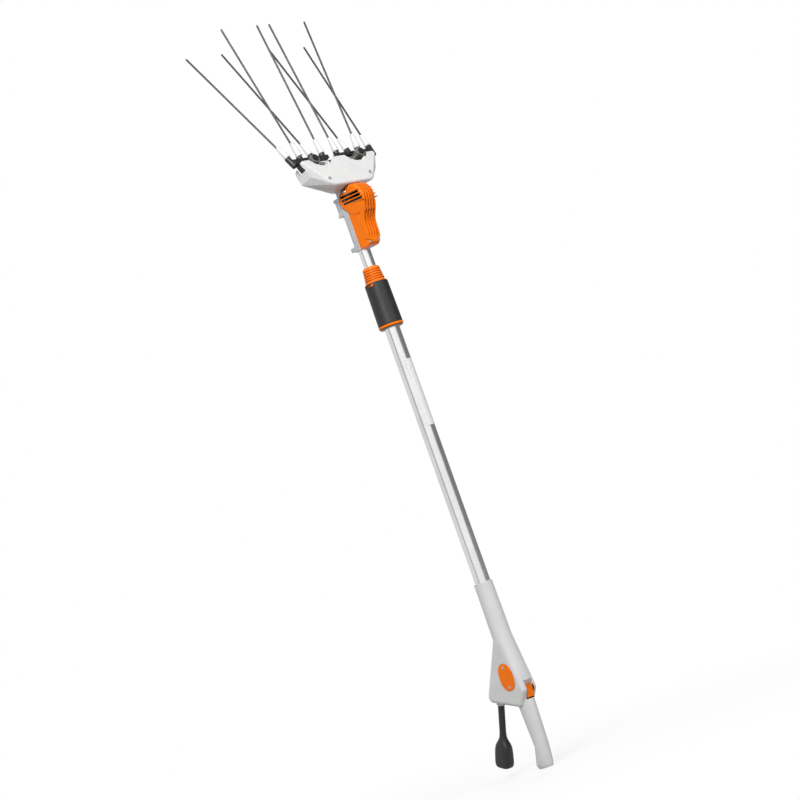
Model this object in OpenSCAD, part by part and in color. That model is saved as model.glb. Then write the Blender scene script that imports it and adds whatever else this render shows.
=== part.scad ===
// Electric olive harvester on a telescopic pole, in millimetres.
// +Z runs up the pole from the butt of the grip, -Y is the trigger side and -X the oval cover side.

/* [Pole] */
// Outer diameter of the lower tube
tube_d = 38; // [36:0.5:40]
// Wall of the lower tube
tube_wall = 2; // [1.4:0.1:2.4]
// Length of the lower tube
tube_l = 955; // [700:5:1200]
// Outer diameter of the sliding upper tube
slide_d = 30; // [28:0.5:31]
// Wall of the upper tube
slide_wall = 1.8; // [1.2:0.1:3]
// Free length of the upper tube between clamp and motor housing when pushed in
slide_gap = 45.5; // [20:0.5:80]
// Height of the upper tube's foot over the lower tube's foot when pushed in
slide_foot = 85; // [40:5:200]

/* [Handle] */
// Height of the neck's top edge over the butt
neck_z = 457; // [400:1:500]
// Outer diameter of the neck
neck_d = 45; // [44:0.5:50]
// Width of the handle body across the shells
handle_w = 50; // [48:1:60]
// Wall of the handle shells
handle_wall = 3; // [2:0.1:3.5]
// How far the body reaches behind the pole
back_reach = 95; // [85:1:105]
// How far the body reaches in front of the pole at the trigger
front_reach = 32; // [30:1:34]
// Height of the body's sloping base where it meets the grip
base_z = 156; // [150:1:162]
// Slope of the base
base_slope = 18; // [14:1:22]
// Width of the grip across the shells
grip_w = 34; // [30:1:38]
// Depth of the grip at its upper end
grip_depth = 40; // [36:1:44]
// How far the pommel reaches behind the pole
pommel_reach = 32; // [26:1:35]

/* [Trigger and cover] */
// Width of the trigger
trigger_w = 21; // [16:1:23]
// Length of the trigger
trigger_l = 29; // [26:1:32]
// Length of the oval cover
oval_l = 66; // [56:1:70]
// Width of the oval cover
oval_w = 46; // [38:1:50]

/* [Lead and plug] */
// Diameter of the lead
lead_d = 16; // [12:0.2:18]
// Tilt of the lead
lead_tilt = 23; // [18:1:26]
// Length of the lead from the collar to the plug
lead_l = 74; // [60:1:90]
// Length of the plug body below its flare
plug_l = 55; // [48:1:60]
// Width of the plug in the plane of the pole
plug_w = 42; // [34:1:46]
// Thickness of the plug
plug_t = 28; // [22:1:34]

/* [Clamp] */
// Outer diameter of the twist sleeve
sleeve_d = 61; // [58:1:66]
// Length of the twist sleeve
sleeve_l = 107; // [92:1:118]
// Number of ribs on the clamp core
core_ribs = 5; // [3:1:6]

/* [Motor housing] */
// Radius of the round motor housing
drum_r = 38; // [37.5:0.5:40]
// Width of the round motor housing
drum_w = 42; // [40:0.5:46]
// Wall of the motor cover
cover_wall = 2.5; // [2:0.1:3]
// How far the lower part of the cover stands in front of the pole
cover_reach = 51; // [49:1:56]
// Width of the spine and of the lower cover
spine_w = 39; // [38:0.5:42]
// Number of grooves down the cover's front
cover_grooves = 4; // [2:1:5]
// Number of louvre slats on each side of the cover
louvres = 4; // [3:1:5]

/* [Head] */
// Height of the head's centre over the foot of the motor housing
head_rise = 199.5; // [198.5:0.5:203.5]
// Backward tilt of the head
head_tilt = 18; // [14:1:22]
// Half width of the head at its upper tips
head_half_w = 120; // [116:1:126]
// Depth of the head's flat base under its centre
head_depth = 56; // [55:0.5:58]
// How far the head's front stands ahead of its centre
head_front = 35; // [34:1:40]
// How far the head's back stands behind its centre
head_back = 26; // [25:1:30]
// Wall of the head shells
head_wall = 3; // [2:0.1:3.2]

/* [Combs] */
// Distance of each comb's pivot from the middle
pivot_x = 75; // [72:0.5:78]
// Height of the pivots over the head's centre
pivot_z = 26; // [24:0.5:28]
// Length of the lever from the pivot to its drive pin
lever_l = 58; // [54:0.5:60]
// Free length of a tine beyond its boot
tine_l = 334; // [250:2:400]
// Diameter of a tine
tine_d = 5; // [4:0.1:6]
// Pitch of the tine roots
tine_pitch = 36.4; // [34:0.1:38]
// Distance of the innermost tine root from the middle
tine_inset = 23.5; // [22:0.5:26]
// Angle between neighbouring tines of a comb
fan_step = 3.25; // [2:0.05:4]
// Lean of the front and back rows of tines
row_lean = 7.6; // [5:0.1:9]

/* [Hidden] */
$fn = 64;
// Facets of the rounded shells
form_fn = 32;
// Running fit, fixed fit, open clearance, and the overrun of cuts
fit = 0.05;
seat = 0.03;
gap = 0.3;
over = 1;
// Thickness of the slices that shells are lofted through
slice_h = 0.5;
// Small screws
screw_r = 1.8;
screw_clear = 0.1;
screw_hole_r = screw_r + screw_clear;
screw_head_r = 3.4;
screw_head_h = 2.6;

// Handle body and grip: heights, reaches and roundings
neck_r = neck_d/2;
neck_flare = 1.2;
shoulder_drop = 138;
shoulder_z = neck_z - shoulder_drop;
body_round = 15;
body_edge = 10;
low_round = 12;
low_rise = 7;
low_z = base_z + low_rise;
base_y = 13;
heel_y = back_reach - body_round;
heel_z = base_z + (heel_y - base_y)*tan(base_slope) + body_round/cos(base_slope);
brow_rise = 34;
brow_y = body_round - front_reach;
brow_z = base_z + brow_rise;
// Grip slices as shares of base height, of depth for the offset, of width and of depth
grip_shares = [[1.12, -0.0575, 1.06, 1.25], [0.61, -0.06, 1, 1.05], [0.34, -0.065, 1, 0.89]];
pommel_z = 10;
pommel_front = 16;
pommel_depth = (pommel_reach + pommel_front)/2;
pommel_y = pommel_reach - pommel_depth;
butt_round = 4;
tube_foot_z = 245;
tube_r = tube_d/2;
tube_top_z = tube_foot_z + tube_l;
cavity_roof = 13;
cavity_z = tube_foot_z - cavity_roof;
wire_r = 7;

// Trigger in the pole's middle plane
trigger_side_gap = 1.8;
trigger_rise = 6.5;
trigger_top_z = brow_z + trigger_rise;
trigger_foot_z = trigger_top_z - trigger_l;
crown_inset = 1.4;
toe_inset = 6.5;
trigger_crown_y = crown_inset - front_reach;
trigger_toe_y = toe_inset - front_reach;
trigger_heel_y = -11.5;
trigger_pin_y = -20;
trigger_pin_drop = 5.5;
trigger_pin_z = trigger_top_z - trigger_pin_drop;
trigger_pin_r = 1.6;
trigger_boss_r = 5;
trigger_dish = 0.4;
pocket_foot_gap = 3;
pocket_top_gap = 1;
pocket_back_y = -6;
pocket_half = trigger_w/2 + trigger_side_gap;
block_back_y = -8;
block_wall = 3.4;
block_half = pocket_half + block_wall;
ramp_rise = 14;
ramp_depth = 9;

// Switch and control board inside the handle
board_x = 6;
board_t = 1.6;
board_front_y = -7.5;
board_l = 53.5;
board_rise = 19;
board_low_z = base_z + board_rise;
board_roof_gap = 6;
board_high_z = cavity_z - board_roof_gap;
board_post_r = 3;
board_post_shares = [[0.3, 0.2], [0.85, 0.3], [0.8, 0.85]];
switch_d = 7.5;
switch_w = 10;
switch_h = 20;
chip_t = 3;
chip_l = 14;
chip_edge = 4;
chip_pitch = 20;

// Oval cover on the -X side
oval_y = 8;
oval_rise = 72;
oval_z = base_z + oval_rise;
oval_t = 3;
oval_sink = 2;
oval_seat_x = oval_sink - handle_w/2;
oval_pad = 6;
oval_points = 48;
oval_power_share = 0.85;
oval_screw_inset = 9;
oval_shank = 3.5;

// Screws of the handle: one in the heel, two in the grip
heel_screw_rise = 4;
grip_screw_y = 2;
grip_screw_share = 0.79;
butt_screw_z = 34;
handle_screw_yz = [[heel_y, heel_z + heel_screw_rise], [grip_screw_y, grip_screw_share*base_z],
    [grip_screw_y, butt_screw_z]];
handle_screw_half = [handle_w/2, grip_w/2, grip_w/2];
handle_post_r = 4.5;
handle_screw_seat = 7;
handle_screw_tail = 8;

// Lead and plug
lead_inset = 15;
lead_y = back_reach - lead_inset;
lead_z = base_z + (lead_y - base_y)*tan(base_slope);
lead_r = lead_d/2;
collar_rim = 2.8;
collar_r = lead_r + collar_rim;
collar_l = 8;
collar_sink = 5;
flare_l = 27;
flare_rim = 4;
flare_step = 3;
plug_round = 8;
plug_end_round = 3;

// Clamp on the lower tube's top
core_skirt = 97.5;
core_z = tube_top_z - core_skirt;
core_wall = 5;
core_r = tube_r + core_wall;
flange_h = 6;
flange_edge = 2;
flange_proud = 0.4;
sleeve_z = core_z + flange_h;
sleeve_r = sleeve_d/2;
sleeve_top_z = sleeve_z + sleeve_l;
sleeve_edge = 1.5;
sleeve_taper = 1.6;
sleeve_top_r = sleeve_r - sleeve_taper;
flange_r = sleeve_r + flange_proud;
top_flange_h = 3.5;
top_flange = 0.9;
top_flange_r = core_r + top_flange;
rib_pitch = 5.8;
rib_depth = 2.3;
rib_inset = 2.5;
rib_r = core_r - rib_inset;
groove_mouth = 3.2;
groove_floor = 1.8;
rib_foot_z = sleeve_top_z + top_flange_h;
rib_top_z = rib_foot_z + core_ribs*rib_pitch;
dome_h = 7;
dome_lip = 2.4;
dome_clear = 0.4;
clamp_top_z = rib_top_z + dome_h;
slide_r = slide_d/2;
dome_bore_r = slide_r + dome_clear;
dome_top_r = slide_r + dome_lip;
collet_wall = 2.4;
collet_r = slide_r + collet_wall;
collet_drop = 3;
collet_top_z = rib_top_z - collet_drop;
collet_slits = 4;
collet_slit_w = 1.5;
collet_ring_h = 12;
insert_h = 1.8;
insert_r = flange_r - flange_edge;
index_wall = 2.5;
index_r = sleeve_top_r - index_wall;
index_h = 14;
index_z = sleeve_top_z - index_h;
peg_az = 206;
peg_r = 1.2;
peg_head_r = 3;
peg_head_t = 1;
peg_drop = 6;
peg_z = sleeve_top_z - peg_drop;
peg_slot_turn = 50;

// Upper tube and its bush
spine_z = clamp_top_z + slide_gap;
slide_socket = 66;
slide_top_z = spine_z + slide_socket;
slide_foot_z = tube_foot_z + slide_foot;
bush_l = 30;
bush_clear = 0.07;
bush_r = tube_r - tube_wall - bush_clear;

// Spine
head_z = spine_z + head_rise;
spine_half = spine_w/2;
spine_front_y = -17;
skirt_reach = 6;
skirt_y = spine_front_y + skirt_reach;
spine_h = 153.5;
spine_top_z = spine_z + spine_h;
foot_lug_w = 22;
foot_lug_reach = 33;
foot_lug_h = 10;
foot_lug_rise = 5;
foot_lug_z = spine_z + foot_lug_rise;
foot_slit_w = 2.4;
foot_slit_h = 24;
foot_bolt_y = 25;
lug_w = 32;
lug_reach = 29;
lug_t = 8;
low_lug_rise = 93.5;
low_lug_z = spine_z + low_lug_rise;
high_lug_rise = 131.5;
high_lug_z = spine_z + high_lug_rise;
web_w = 28;
web_reach = 27;

// Motor cover: a drum across X placed in the head's tilted frame, and a straight part below it
seal_t = 2;
cover_top_z = -head_depth - seal_t;
drum_y = -14;
drum_z = -93;
drum_back = [21, 15];
drum_back_r = 24;
drum_edge = 6;
drum_seat_gap = 0.2;
chin_y = -8;
chin_z = -34;
chin_round = 10;
chin_inset = 0.5;
chin_draft = 1.5;
cover_inner_x = drum_w/2 - cover_wall;
cover_corner = 10;
cover_taper = 2;
cover_draft = 2.5;
cover_full = 18;
cover_foot_y = cover_taper - cover_reach;
cover_neck_rise = 71.5;
cover_neck_z = spine_z + cover_neck_rise;
cover_edge = 3.5;
cover_back_rise = 89.5;
cover_back_z = spine_z + cover_back_rise;
drum_open_share = 0.85;
groove_w = 1.8;
groove_depth = 1.8;
groove_pitch = 8.4;
groove_rise = 20;
groove_foot_z = spine_z + groove_rise;
groove_back_y = -34;
vent_w = 5;
vent_pitch = 9.6;
vent_l = 66;
vent_drop = 5.8;
vent_high = 16.6;
fin_t = 2.4;
fin_reach = 2.6;
fin_tip = 2;
fin_front = 1;
cover_screw_x = 13.2;
cover_screw_rise = 7.5;
cover_screw_z = spine_z + cover_screw_rise;
cover_screw_sink = 2.8;
cover_screw_y = cover_foot_y + cover_screw_sink;
cover_screw_tail = 4.5;
cover_post_r = 4.6;

// Motor, along X inside the drum
bell_gap = 1;
bell_r = 29;
bell_wall = 3;
bell_back_x = bell_gap - cover_inner_x;
bell_front_x = -2;
stator_gap = 1.5;
stator_r = 25.3;
stator_front_x = -1;
motor_back_x = bell_back_x + bell_wall + stator_gap;
plate_t = 3.5;
plate_r = 31;
plate_tab = 30;
stator_hub_r = 11.4;
bearing_r = 9;
bearing_t = 5;
shaft_r = 4;
crank_t = 3.6;
crank_r = 14;
crank_throw = 8;
crank_pin_r = 4;
crank_pin_gap = 0.7;

// Scotch yoke, whose slot takes the crank pin half a turn from one end of the stroke to the other
comb_close = 2;
rest_lift = lever_l*comb_close*PI/180;
crank_rest = 180*rest_lift/(2*crank_throw);
yoke_t = 5.2;
yoke_gap = 1;
yoke_side_gap = 0.4;
yoke_x = cover_inner_x - yoke_gap - yoke_t;
crank_x = yoke_x - yoke_side_gap - crank_t;
yoke_slot_play = 2.1;
yoke_slot_r = crank_pin_r + yoke_slot_play;
yoke_slot_end = 0.5;
yoke_slot_y = crank_throw + crank_pin_r + yoke_slot_end - yoke_slot_r;
yoke_rim = 4.7;
yoke_plate_r = yoke_slot_r + yoke_rim;
yoke_slot_z = drum_z - crank_throw + rest_lift;
yoke_arm_w = 10;
yoke_block_rise = 2;
yoke_block_z = yoke_block_rise - head_depth;
yoke_block_h = 8;
stem_r = 5;
guide_r = 8;
drive_pin_r = 3.5;
lever_droop = 6;
drive_pin_x = pivot_x - lever_l*cos(lever_droop);
drive_pin_z = pivot_z - lever_l*sin(lever_droop);
cross_end = 6.7;
cross_half_w = drive_pin_x + cross_end;
cross_h = 14;
cross_t = 6;
cross_z = drive_pin_z - cross_h/2;
cross_slot_l = 10;

// Motor controller on the spine's front
controller_t = 1.6;
controller_w = 28;
controller_rise = 26;
controller_z = spine_z + controller_rise;
controller_h = 42;
controller_off = 5;
controller_face_y = spine_front_y - controller_off;
controller_post_r = 2.5;
controller_post_shares = [0.1, 0.9];
controller_side = 11;
capacitor_r = 6;
capacitor_l = 18;
capacitor_x = 6.6;

// Head shells
tip_round = 8;
tip_z = 19;
corner_round = 14;
corner_z = -10;
cheek_inset = 20;
cheek_round = 10;
cheek_y = -20;
cheek_z = -8;
keel_inset = 68;
keel_x = head_half_w - keel_inset;
back_keel_inset = 92;
back_keel_x = head_half_w - back_keel_inset;
back_keel_lift = 6;
end_sweep_share = 0.6;
keel_round = 26;
keel_z = keel_round - head_depth;
front_edge = 6;
back_round = 18;
min_round = 2;
trough_lift = 60;
scallop_r = 42;
scallop_inset = 18;
scallop_rise = 19.5;
scallop_x = pivot_x - scallop_inset;
scallop_z = pivot_z + scallop_rise;
end_slot_l = 10;
end_slot_x = head_half_w - end_slot_l;
end_slot_z = 3;
end_slot_front = 26;
end_slot_back = 4;
head_split_y = 0;
hole_gap = 2.5;
hole_end_gap = 1.5;
hole_back_y = drum_y + yoke_arm_w/2 + hole_gap;
hole_front_y = drum_y - yoke_arm_w/2 - hole_gap;
hole_low_x = -stem_r - hole_gap;
hole_high_x = yoke_x + yoke_t + hole_end_gap;
base_front_y = front_edge + slice_h - head_front;
base_back_y = head_back - back_round;
base_rise = atan(back_keel_lift/(base_back_y - base_front_y));
seal_half_w = 20.8;
seal_l = 30;
head_screw_inset = 54;
head_screw_drop = 6;
head_screw_x = head_half_w - head_screw_inset;
head_screw_z = keel_z - head_screw_drop;
head_post_r = 8;
head_pocket_r = 5.5;
head_screw_seat = 12;
head_screw_tail = 12;

// Head frame and pivots
frame_y = 10;
frame_t = 5;
frame_low_z = -14;
frame_drop = 12;
frame_high_z = pivot_z - frame_drop;
pivot_r = 5;
pivot_boss_r = 11;
pivot_boss_t = 8;
frame_half_w = pivot_x + pivot_boss_r;
bridge_half_w = 13;
bridge_front_y = -24;
bridge_z = -28;
bridge_h = 16;
frame_post_x = 45;
frame_post_z = -5;
frame_post_r = 6;

// Combs
hub_r = 12.5;
hub_proud = 3;
hub_front_y = -head_front - hub_proud;
hub_cap_r = 8.3;
hub_cap_t = 3;
lever_gap = 0.5;
lever_front_y = drum_y + lever_gap;
lever_t = 7;
lever_root_h = 18;
lever_end_r = 5.5;
bar_mid_y = -13.5;
bar_t = 13;
bar_rise = 8;
bar_low_z = pivot_z + bar_rise;
bar_h = 9;
bar_end = 4;
root_rise = 25.5;
root_z = pivot_z + root_rise;
holder_r = 7.8;
holder_l = 14;
end_holder_l = 29;
socket_l = 10;
boot_l = 39;
boot_r = 6.6;
boot_tip = 0.7;
boot_tip_r = tine_d/2 + boot_tip;
boot_foot_l = 4;
fan_first = -0.6;
tines = 4;

orange = [0.94, 0.44, 0.06];
white_plastic = [0.93, 0.93, 0.92];
pale_plastic = [0.84, 0.85, 0.86];
black_plastic = [0.1, 0.1, 0.1];
cast_grey = [0.6, 0.62, 0.64];
steel = [0.7, 0.7, 0.72];
board_green = [0.1, 0.35, 0.2];

// Box between two corners
module span(low, high) {
    translate(low) cube(high - low);
}

// Round bars along X, Y and Z between two places
module rod_x(x0, x1, r) {
    translate([x0, 0, 0]) rotate([0, 90, 0]) cylinder(h = x1 - x0, r = r);
}

module rod_y(y0, y1, r) {
    translate([0, y0, 0]) rotate([-90, 0, 0]) cylinder(h = y1 - y0, r = r);
}

module rod_z(z0, z1, r) {
    translate([0, 0, z0]) cylinder(h = z1 - z0, r = r);
}

// Both sides of the middle plane
module each_side() {
    children();
    mirror([1, 0, 0]) children();
}

// Discs that hull to a puck across X with rounded rims
module puck(y, z, r, half, edge) {
    translate([0, y, z]) rotate([0, 90, 0]) for (a = [0:30:90])
        cylinder(h = 2*(half - edge + edge*sin(a)), r = r - edge + edge*cos(a), center = true, $fn = form_fn);
}

// Thin oval slice that hulls to a lofted grip
module slice(z, y, half_w, half_d) {
    translate([0, y, z]) scale([half_w, half_d, 1]) cylinder(h = slice_h, r = 1, $fn = form_fn);
}

// Places a child in the tilted frame of the head
module in_head() {
    translate([0, 0, head_z]) rotate([-head_tilt, 0, 0]) children();
}

// Places a child at the motor's axis
module at_motor() {
    in_head() translate([0, drum_y, drum_z]) children();
}

module grip_slice(i, inset) {
    s = grip_shares[i];
    slice(s[0]*base_z, s[1]*grip_depth, s[2]*grip_w/2 - inset, s[3]*grip_depth/2 - inset);
}

// Handle: neck, shouldered body, grip and pommel, drawn in by inset
module handle_form(inset) {
    edge = body_edge - inset;
    half = handle_w/2 - inset;
    last = len(grip_shares) - 1;
    translate([0, 0, shoulder_z])
        cylinder(h = neck_z - shoulder_z, r1 = neck_r + neck_flare - inset, r2 = neck_r - inset);
    hull() {
        rod_z(shoulder_z, shoulder_z + slice_h, neck_r + neck_flare - inset, $fn = 2*form_fn);
        puck(heel_y, heel_z, body_round - inset, half, edge);
        puck(0, low_z, low_round - inset, half - inset, edge - inset);
        puck(brow_y, brow_z, body_round - inset, half, edge);
    }
    hull() for (i = [0:last]) grip_slice(i, inset);
    hull() {
        grip_slice(last, inset);
        slice(pommel_z, pommel_y, grip_w/2 - inset, pommel_depth - inset);
        slice(inset, pommel_y, grip_w/2 - butt_round - inset, pommel_depth - butt_round - inset);
    }
}

// Solid block of the shells that carries the trigger
module trigger_block() {
    span([-block_half, -front_reach, trigger_foot_z - pocket_foot_gap - block_wall],
        [block_half, block_back_y, trigger_top_z + ramp_rise + block_wall]);
}

// Pocket for the trigger with the ramp above it and the pin's hole
module trigger_pocket() {
    span([-pocket_half, -front_reach - over, trigger_foot_z - pocket_foot_gap],
        [pocket_half, pocket_back_y, trigger_top_z + pocket_top_gap]);
    translate([-pocket_half, 0, 0]) rotate([90, 0, 90]) linear_extrude(2*pocket_half)
        polygon([[-front_reach - over, trigger_top_z], [ramp_depth - front_reach, trigger_top_z],
            [-front_reach, trigger_top_z + ramp_rise], [-front_reach - over, trigger_top_z + ramp_rise]]);
    translate([0, trigger_pin_y, trigger_pin_z]) rod_x(gap - block_half, block_half - gap, trigger_pin_r + fit);
}

// Oval outline of the access cover in Y and Z, a soft superellipse
function oval_curve(c, half) = half*sign(c)*pow(abs(c), oval_power_share);

function oval_point(a, grow) = [oval_curve(cos(a), oval_w/2 + grow), oval_curve(sin(a), oval_l/2 + grow)];

module oval_plate(x0, x1, grow) {
    translate([x0, oval_y, oval_z]) rotate([90, 0, 90]) linear_extrude(x1 - x0)
        polygon([for (i = [0:oval_points - 1]) oval_point(360*i/oval_points, grow)]);
}

module at_oval_screws() {
    for (side = [-1, 1]) translate([0, oval_y, oval_z + side*(oval_l/2 - oval_screw_inset)]) children();
}

module at_handle_screw(i) {
    translate([0, handle_screw_yz[i][0], handle_screw_yz[i][1]]) children();
}

module at_board_posts() {
    for (s = board_post_shares)
        translate([0, board_front_y + s[0]*board_l, board_low_z + s[1]*(board_high_z - board_low_z)]) children();
}

// Places a child on the sloping base, with Z down along the lead
module on_base() {
    translate([0, lead_y, lead_z]) rotate([180 + lead_tilt, 0, 0]) children();
}

// Both shells before they are parted
module handle_walls() {
    difference() {
        union() {
            handle_form(0);
            oval_plate(oval_seat_x, oval_seat_x + oval_pad, gap);
        }
        difference() {
            intersection() {
                handle_form(handle_wall);
                span([-handle_w, -handle_w, 0], [handle_w, 2*back_reach, cavity_z]);
            }
            trigger_block();
            for (i = [0:len(handle_screw_yz) - 1]) at_handle_screw(i) rod_x(-handle_w/2, handle_w/2, handle_post_r);
            at_board_posts() rod_x(board_x + board_t, handle_w/2, board_post_r);
        }
        rod_z(tube_foot_z, neck_z + over, tube_r + fit);
        rod_z(cavity_z - over, tube_foot_z + over, wire_r);
        trigger_pocket();
        oval_plate(-handle_w, oval_seat_x, gap);
        at_oval_screws() rod_x(-handle_w, oval_seat_x + oval_shank + gap, screw_hole_r);
        for (i = [0:len(handle_screw_yz) - 1]) at_handle_screw(i) {
            rod_x(-handle_screw_tail - gap, handle_w, screw_hole_r);
            rod_x(handle_screw_half[i] - handle_screw_seat, handle_w, screw_head_r + gap);
        }
        on_base() rod_z(-collar_sink, collar_l, collar_r + fit);
        on_base() rod_z(-collar_sink - collar_l, 0, wire_r);
    }
}

module left_handle_shell() {
    color(pale_plastic) intersection() {
        handle_walls();
        span([-handle_w, -handle_w, 0], [0, 2*back_reach, neck_z]);
    }
}

module right_handle_shell() {
    color(pale_plastic) intersection() {
        handle_walls();
        span([0, -handle_w, 0], [handle_w, 2*back_reach, neck_z]);
    }
}

// Pan-head screw along X: the head sits at x and points to +X, the shank ends at tail
module screw_x(x, tail) {
    rod_x(x, x + screw_head_h, screw_head_r);
    rod_x(tail, x, screw_r);
}

module handle_screws() {
    color(steel) for (i = [0:len(handle_screw_yz) - 1]) at_handle_screw(i)
        screw_x(handle_screw_half[i] - handle_screw_seat, -handle_screw_tail);
}

module oval_cover() {
    face = oval_seat_x - oval_t;
    color(orange) difference() {
        oval_plate(face, oval_seat_x, 0);
        at_oval_screws() rod_x(-handle_w, 0, screw_hole_r);
        at_oval_screws() rod_x(-handle_w, face + screw_head_h/2, screw_head_r + gap);
    }
}

module oval_cover_screws() {
    color(steel) at_oval_screws() mirror([1, 0, 0])
        screw_x(oval_t - oval_seat_x - screw_head_h/2, -oval_seat_x - oval_shank);
}

module trigger() {
    color(orange) difference() {
        translate([-trigger_w/2, 0, 0]) rotate([90, 0, 90]) linear_extrude(trigger_w) {
            polygon([[trigger_pin_y, trigger_top_z], [trigger_crown_y, trigger_top_z],
                [(trigger_crown_y + trigger_toe_y)/2 + trigger_dish, (trigger_top_z + trigger_foot_z)/2],
                [trigger_toe_y, trigger_foot_z], [trigger_heel_y, trigger_foot_z],
                [trigger_pin_y + trigger_boss_r, trigger_pin_z]]);
            translate([trigger_pin_y, trigger_pin_z]) circle(r = trigger_boss_r);
        }
        translate([0, trigger_pin_y, trigger_pin_z]) rod_x(-trigger_w, trigger_w, trigger_pin_r + fit);
    }
}

module trigger_pin() {
    color(steel) translate([0, trigger_pin_y, trigger_pin_z])
        rod_x(2*gap - block_half, block_half - 2*gap, trigger_pin_r);
}

module trigger_switch() {
    mid = (trigger_foot_z + trigger_pin_z)/2;
    color(black_plastic) span([board_x - switch_w, board_front_y, mid - switch_h/2],
        [board_x, board_front_y + switch_d, mid + switch_h/2]);
}

module control_board() {
    back = board_front_y + board_l;
    color(board_green) {
        span([board_x, board_front_y, board_low_z], [board_x + board_t, back, board_high_z]);
        for (i = [0, 1]) translate([0, -i*chip_pitch, 0])
            span([board_x - chip_t, back - chip_edge - chip_l, board_high_z - chip_edge - chip_l],
                [board_x, back - chip_edge, board_high_z - chip_edge]);
    }
}

module lead_collar() {
    color(white_plastic) on_base() difference() {
        rod_z(-collar_sink, collar_l, collar_r);
        rod_z(-collar_sink - over, collar_l + over, lead_r + seat);
    }
}

module lead() {
    color(black_plastic) on_base() rod_z(-collar_sink, collar_l + lead_l, lead_r);
}

// Rounded flat outline of the plug, thick along X
module plug_slice(z, w, t, round) {
    for (x = [-1, 1], y = [-1, 1]) translate([x*(t/2 - round), y*(w/2 - round), z])
        cylinder(h = slice_h, r = round, $fn = form_fn);
}

module plug_body() {
    foot = collar_l + lead_l;
    end = foot + flare_l + plug_l;
    color(black_plastic) on_base() {
        hull() {
            plug_slice(foot, lead_d + flare_rim, lead_d + flare_rim, plug_round);
            plug_slice(foot + flare_l, plug_w - flare_step, plug_t - flare_step, plug_round);
        }
        hull() {
            plug_slice(foot + flare_l, plug_w, plug_t, plug_round);
            plug_slice(end - plug_end_round, plug_w, plug_t, plug_round);
            plug_slice(end - slice_h, plug_w - 2*plug_end_round, plug_t - 2*plug_end_round,
                plug_round - plug_end_round);
        }
    }
}

module lower_tube() {
    color([0.78, 0.79, 0.8]) difference() {
        rod_z(tube_foot_z, tube_top_z, tube_r);
        rod_z(tube_foot_z - over, tube_top_z + over, tube_r - tube_wall);
    }
}

// Radius of the clamp's core at a share of its ribbed height
function rib_out(share) = top_flange_r + share*(rib_r - top_flange_r);

// Orange core of the clamp: flange, hidden skirt and index collar, ribs and dome, with the index peg
module clamp_core() {
    dome = [for (a = [0:15:90]) [dome_top_r + (rib_r - dome_top_r)*cos(a), rib_top_z + dome_h*sin(a)]];
    color(orange) difference() {
        union() {
            rotate_extrude() polygon(concat([[0, core_z], [flange_r - flange_edge, core_z],
                [flange_r, core_z + flange_edge], [flange_r, sleeve_z], [core_r, sleeve_z],
                [core_r, index_z], [index_r, index_z], [index_r, sleeve_top_z], [top_flange_r, rib_foot_z]],
                dome, [[0, clamp_top_z]]));
            rotate([0, 0, peg_az]) translate([0, 0, peg_z]) {
                rod_x(index_r - over, sleeve_top_r + gap, peg_r);
                rod_x(sleeve_top_r + gap, sleeve_top_r + gap + peg_head_t, peg_head_r);
            }
        }
        rod_z(core_z - over, tube_top_z, tube_r + fit);
        rod_z(core_z, collet_top_z, collet_r + fit);
        rod_z(core_z, clamp_top_z + over, dome_bore_r);
        for (i = [1:core_ribs]) translate([0, 0, rib_foot_z + (i - 1/2)*rib_pitch])
            core_groove(rib_out((i - 1/2)/core_ribs));
    }
}

module core_groove(r) {
    rotate_extrude() polygon([[r - rib_depth, -groove_floor/2], [r + over, -groove_mouth/2],
        [r + over, groove_mouth/2], [r - rib_depth, groove_floor/2]]);
}

module clamp_insert() {
    color(black_plastic) difference() {
        rod_z(core_z - insert_h, core_z, insert_r);
        rod_z(core_z - insert_h - over, core_z + over, tube_r + fit);
    }
}

module clamp_collet() {
    color(black_plastic) difference() {
        rod_z(tube_top_z, collet_top_z, collet_r);
        rod_z(tube_top_z - over, collet_top_z + over, slide_r + fit);
        for (i = [0:collet_slits - 1]) rotate([0, 0, 360*i/collet_slits])
            span([0, -collet_slit_w/2, tube_top_z + collet_ring_h],
                [tube_d, collet_slit_w/2, collet_top_z + over]);
    }
}

// Black twist sleeve with the slot that its index peg runs in
module clamp_sleeve() {
    low = sleeve_z + gap;
    high = sleeve_top_z - gap;
    half = peg_r + gap;
    color([0.14, 0.14, 0.15]) difference() {
        rotate_extrude() polygon([[core_r + fit, low], [sleeve_r - sleeve_edge, low],
            [sleeve_r, low + sleeve_edge], [sleeve_top_r, high - sleeve_edge],
            [sleeve_top_r - sleeve_edge, high], [index_r + fit, high], [index_r + fit, index_z - gap],
            [core_r + fit, index_z - gap]]);
        translate([0, 0, peg_z]) {
            rotate([0, 0, peg_az - peg_slot_turn]) rotate_extrude(angle = peg_slot_turn)
                translate([0, -half]) square([sleeve_d, 2*half]);
            for (turn = [0, peg_slot_turn]) rotate([0, 0, peg_az - turn]) rod_x(0, sleeve_d, half);
        }
    }
}

module upper_tube() {
    color([0.82, 0.83, 0.84]) difference() {
        rod_z(slide_foot_z, slide_top_z, slide_r);
        rod_z(slide_foot_z - over, slide_top_z + over, slide_r - slide_wall);
    }
}

module guide_bush() {
    color(black_plastic) difference() {
        rod_z(slide_foot_z, slide_foot_z + bush_l, bush_r);
        rod_z(slide_foot_z - over, slide_foot_z + bush_l + over, slide_r + seat);
    }
}

// Discs that hull to the head: each has a place along Y and a shrink, from its rounded front and back rims
function disc_pull(s, r) = max(0, s + min_round - r);

// One disc of radius r whose outer edge keeps its place when s shrinks it past its least radius
module head_disc(s, r, z, lift) {
    pull = disc_pull(s[1], r);
    translate([head_half_w - r - pull, 0, z + lift*pull])
        rod_y(s[0], s[0] + slice_h, max(r - s[1], min_round), $fn = form_fn);
}

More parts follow.
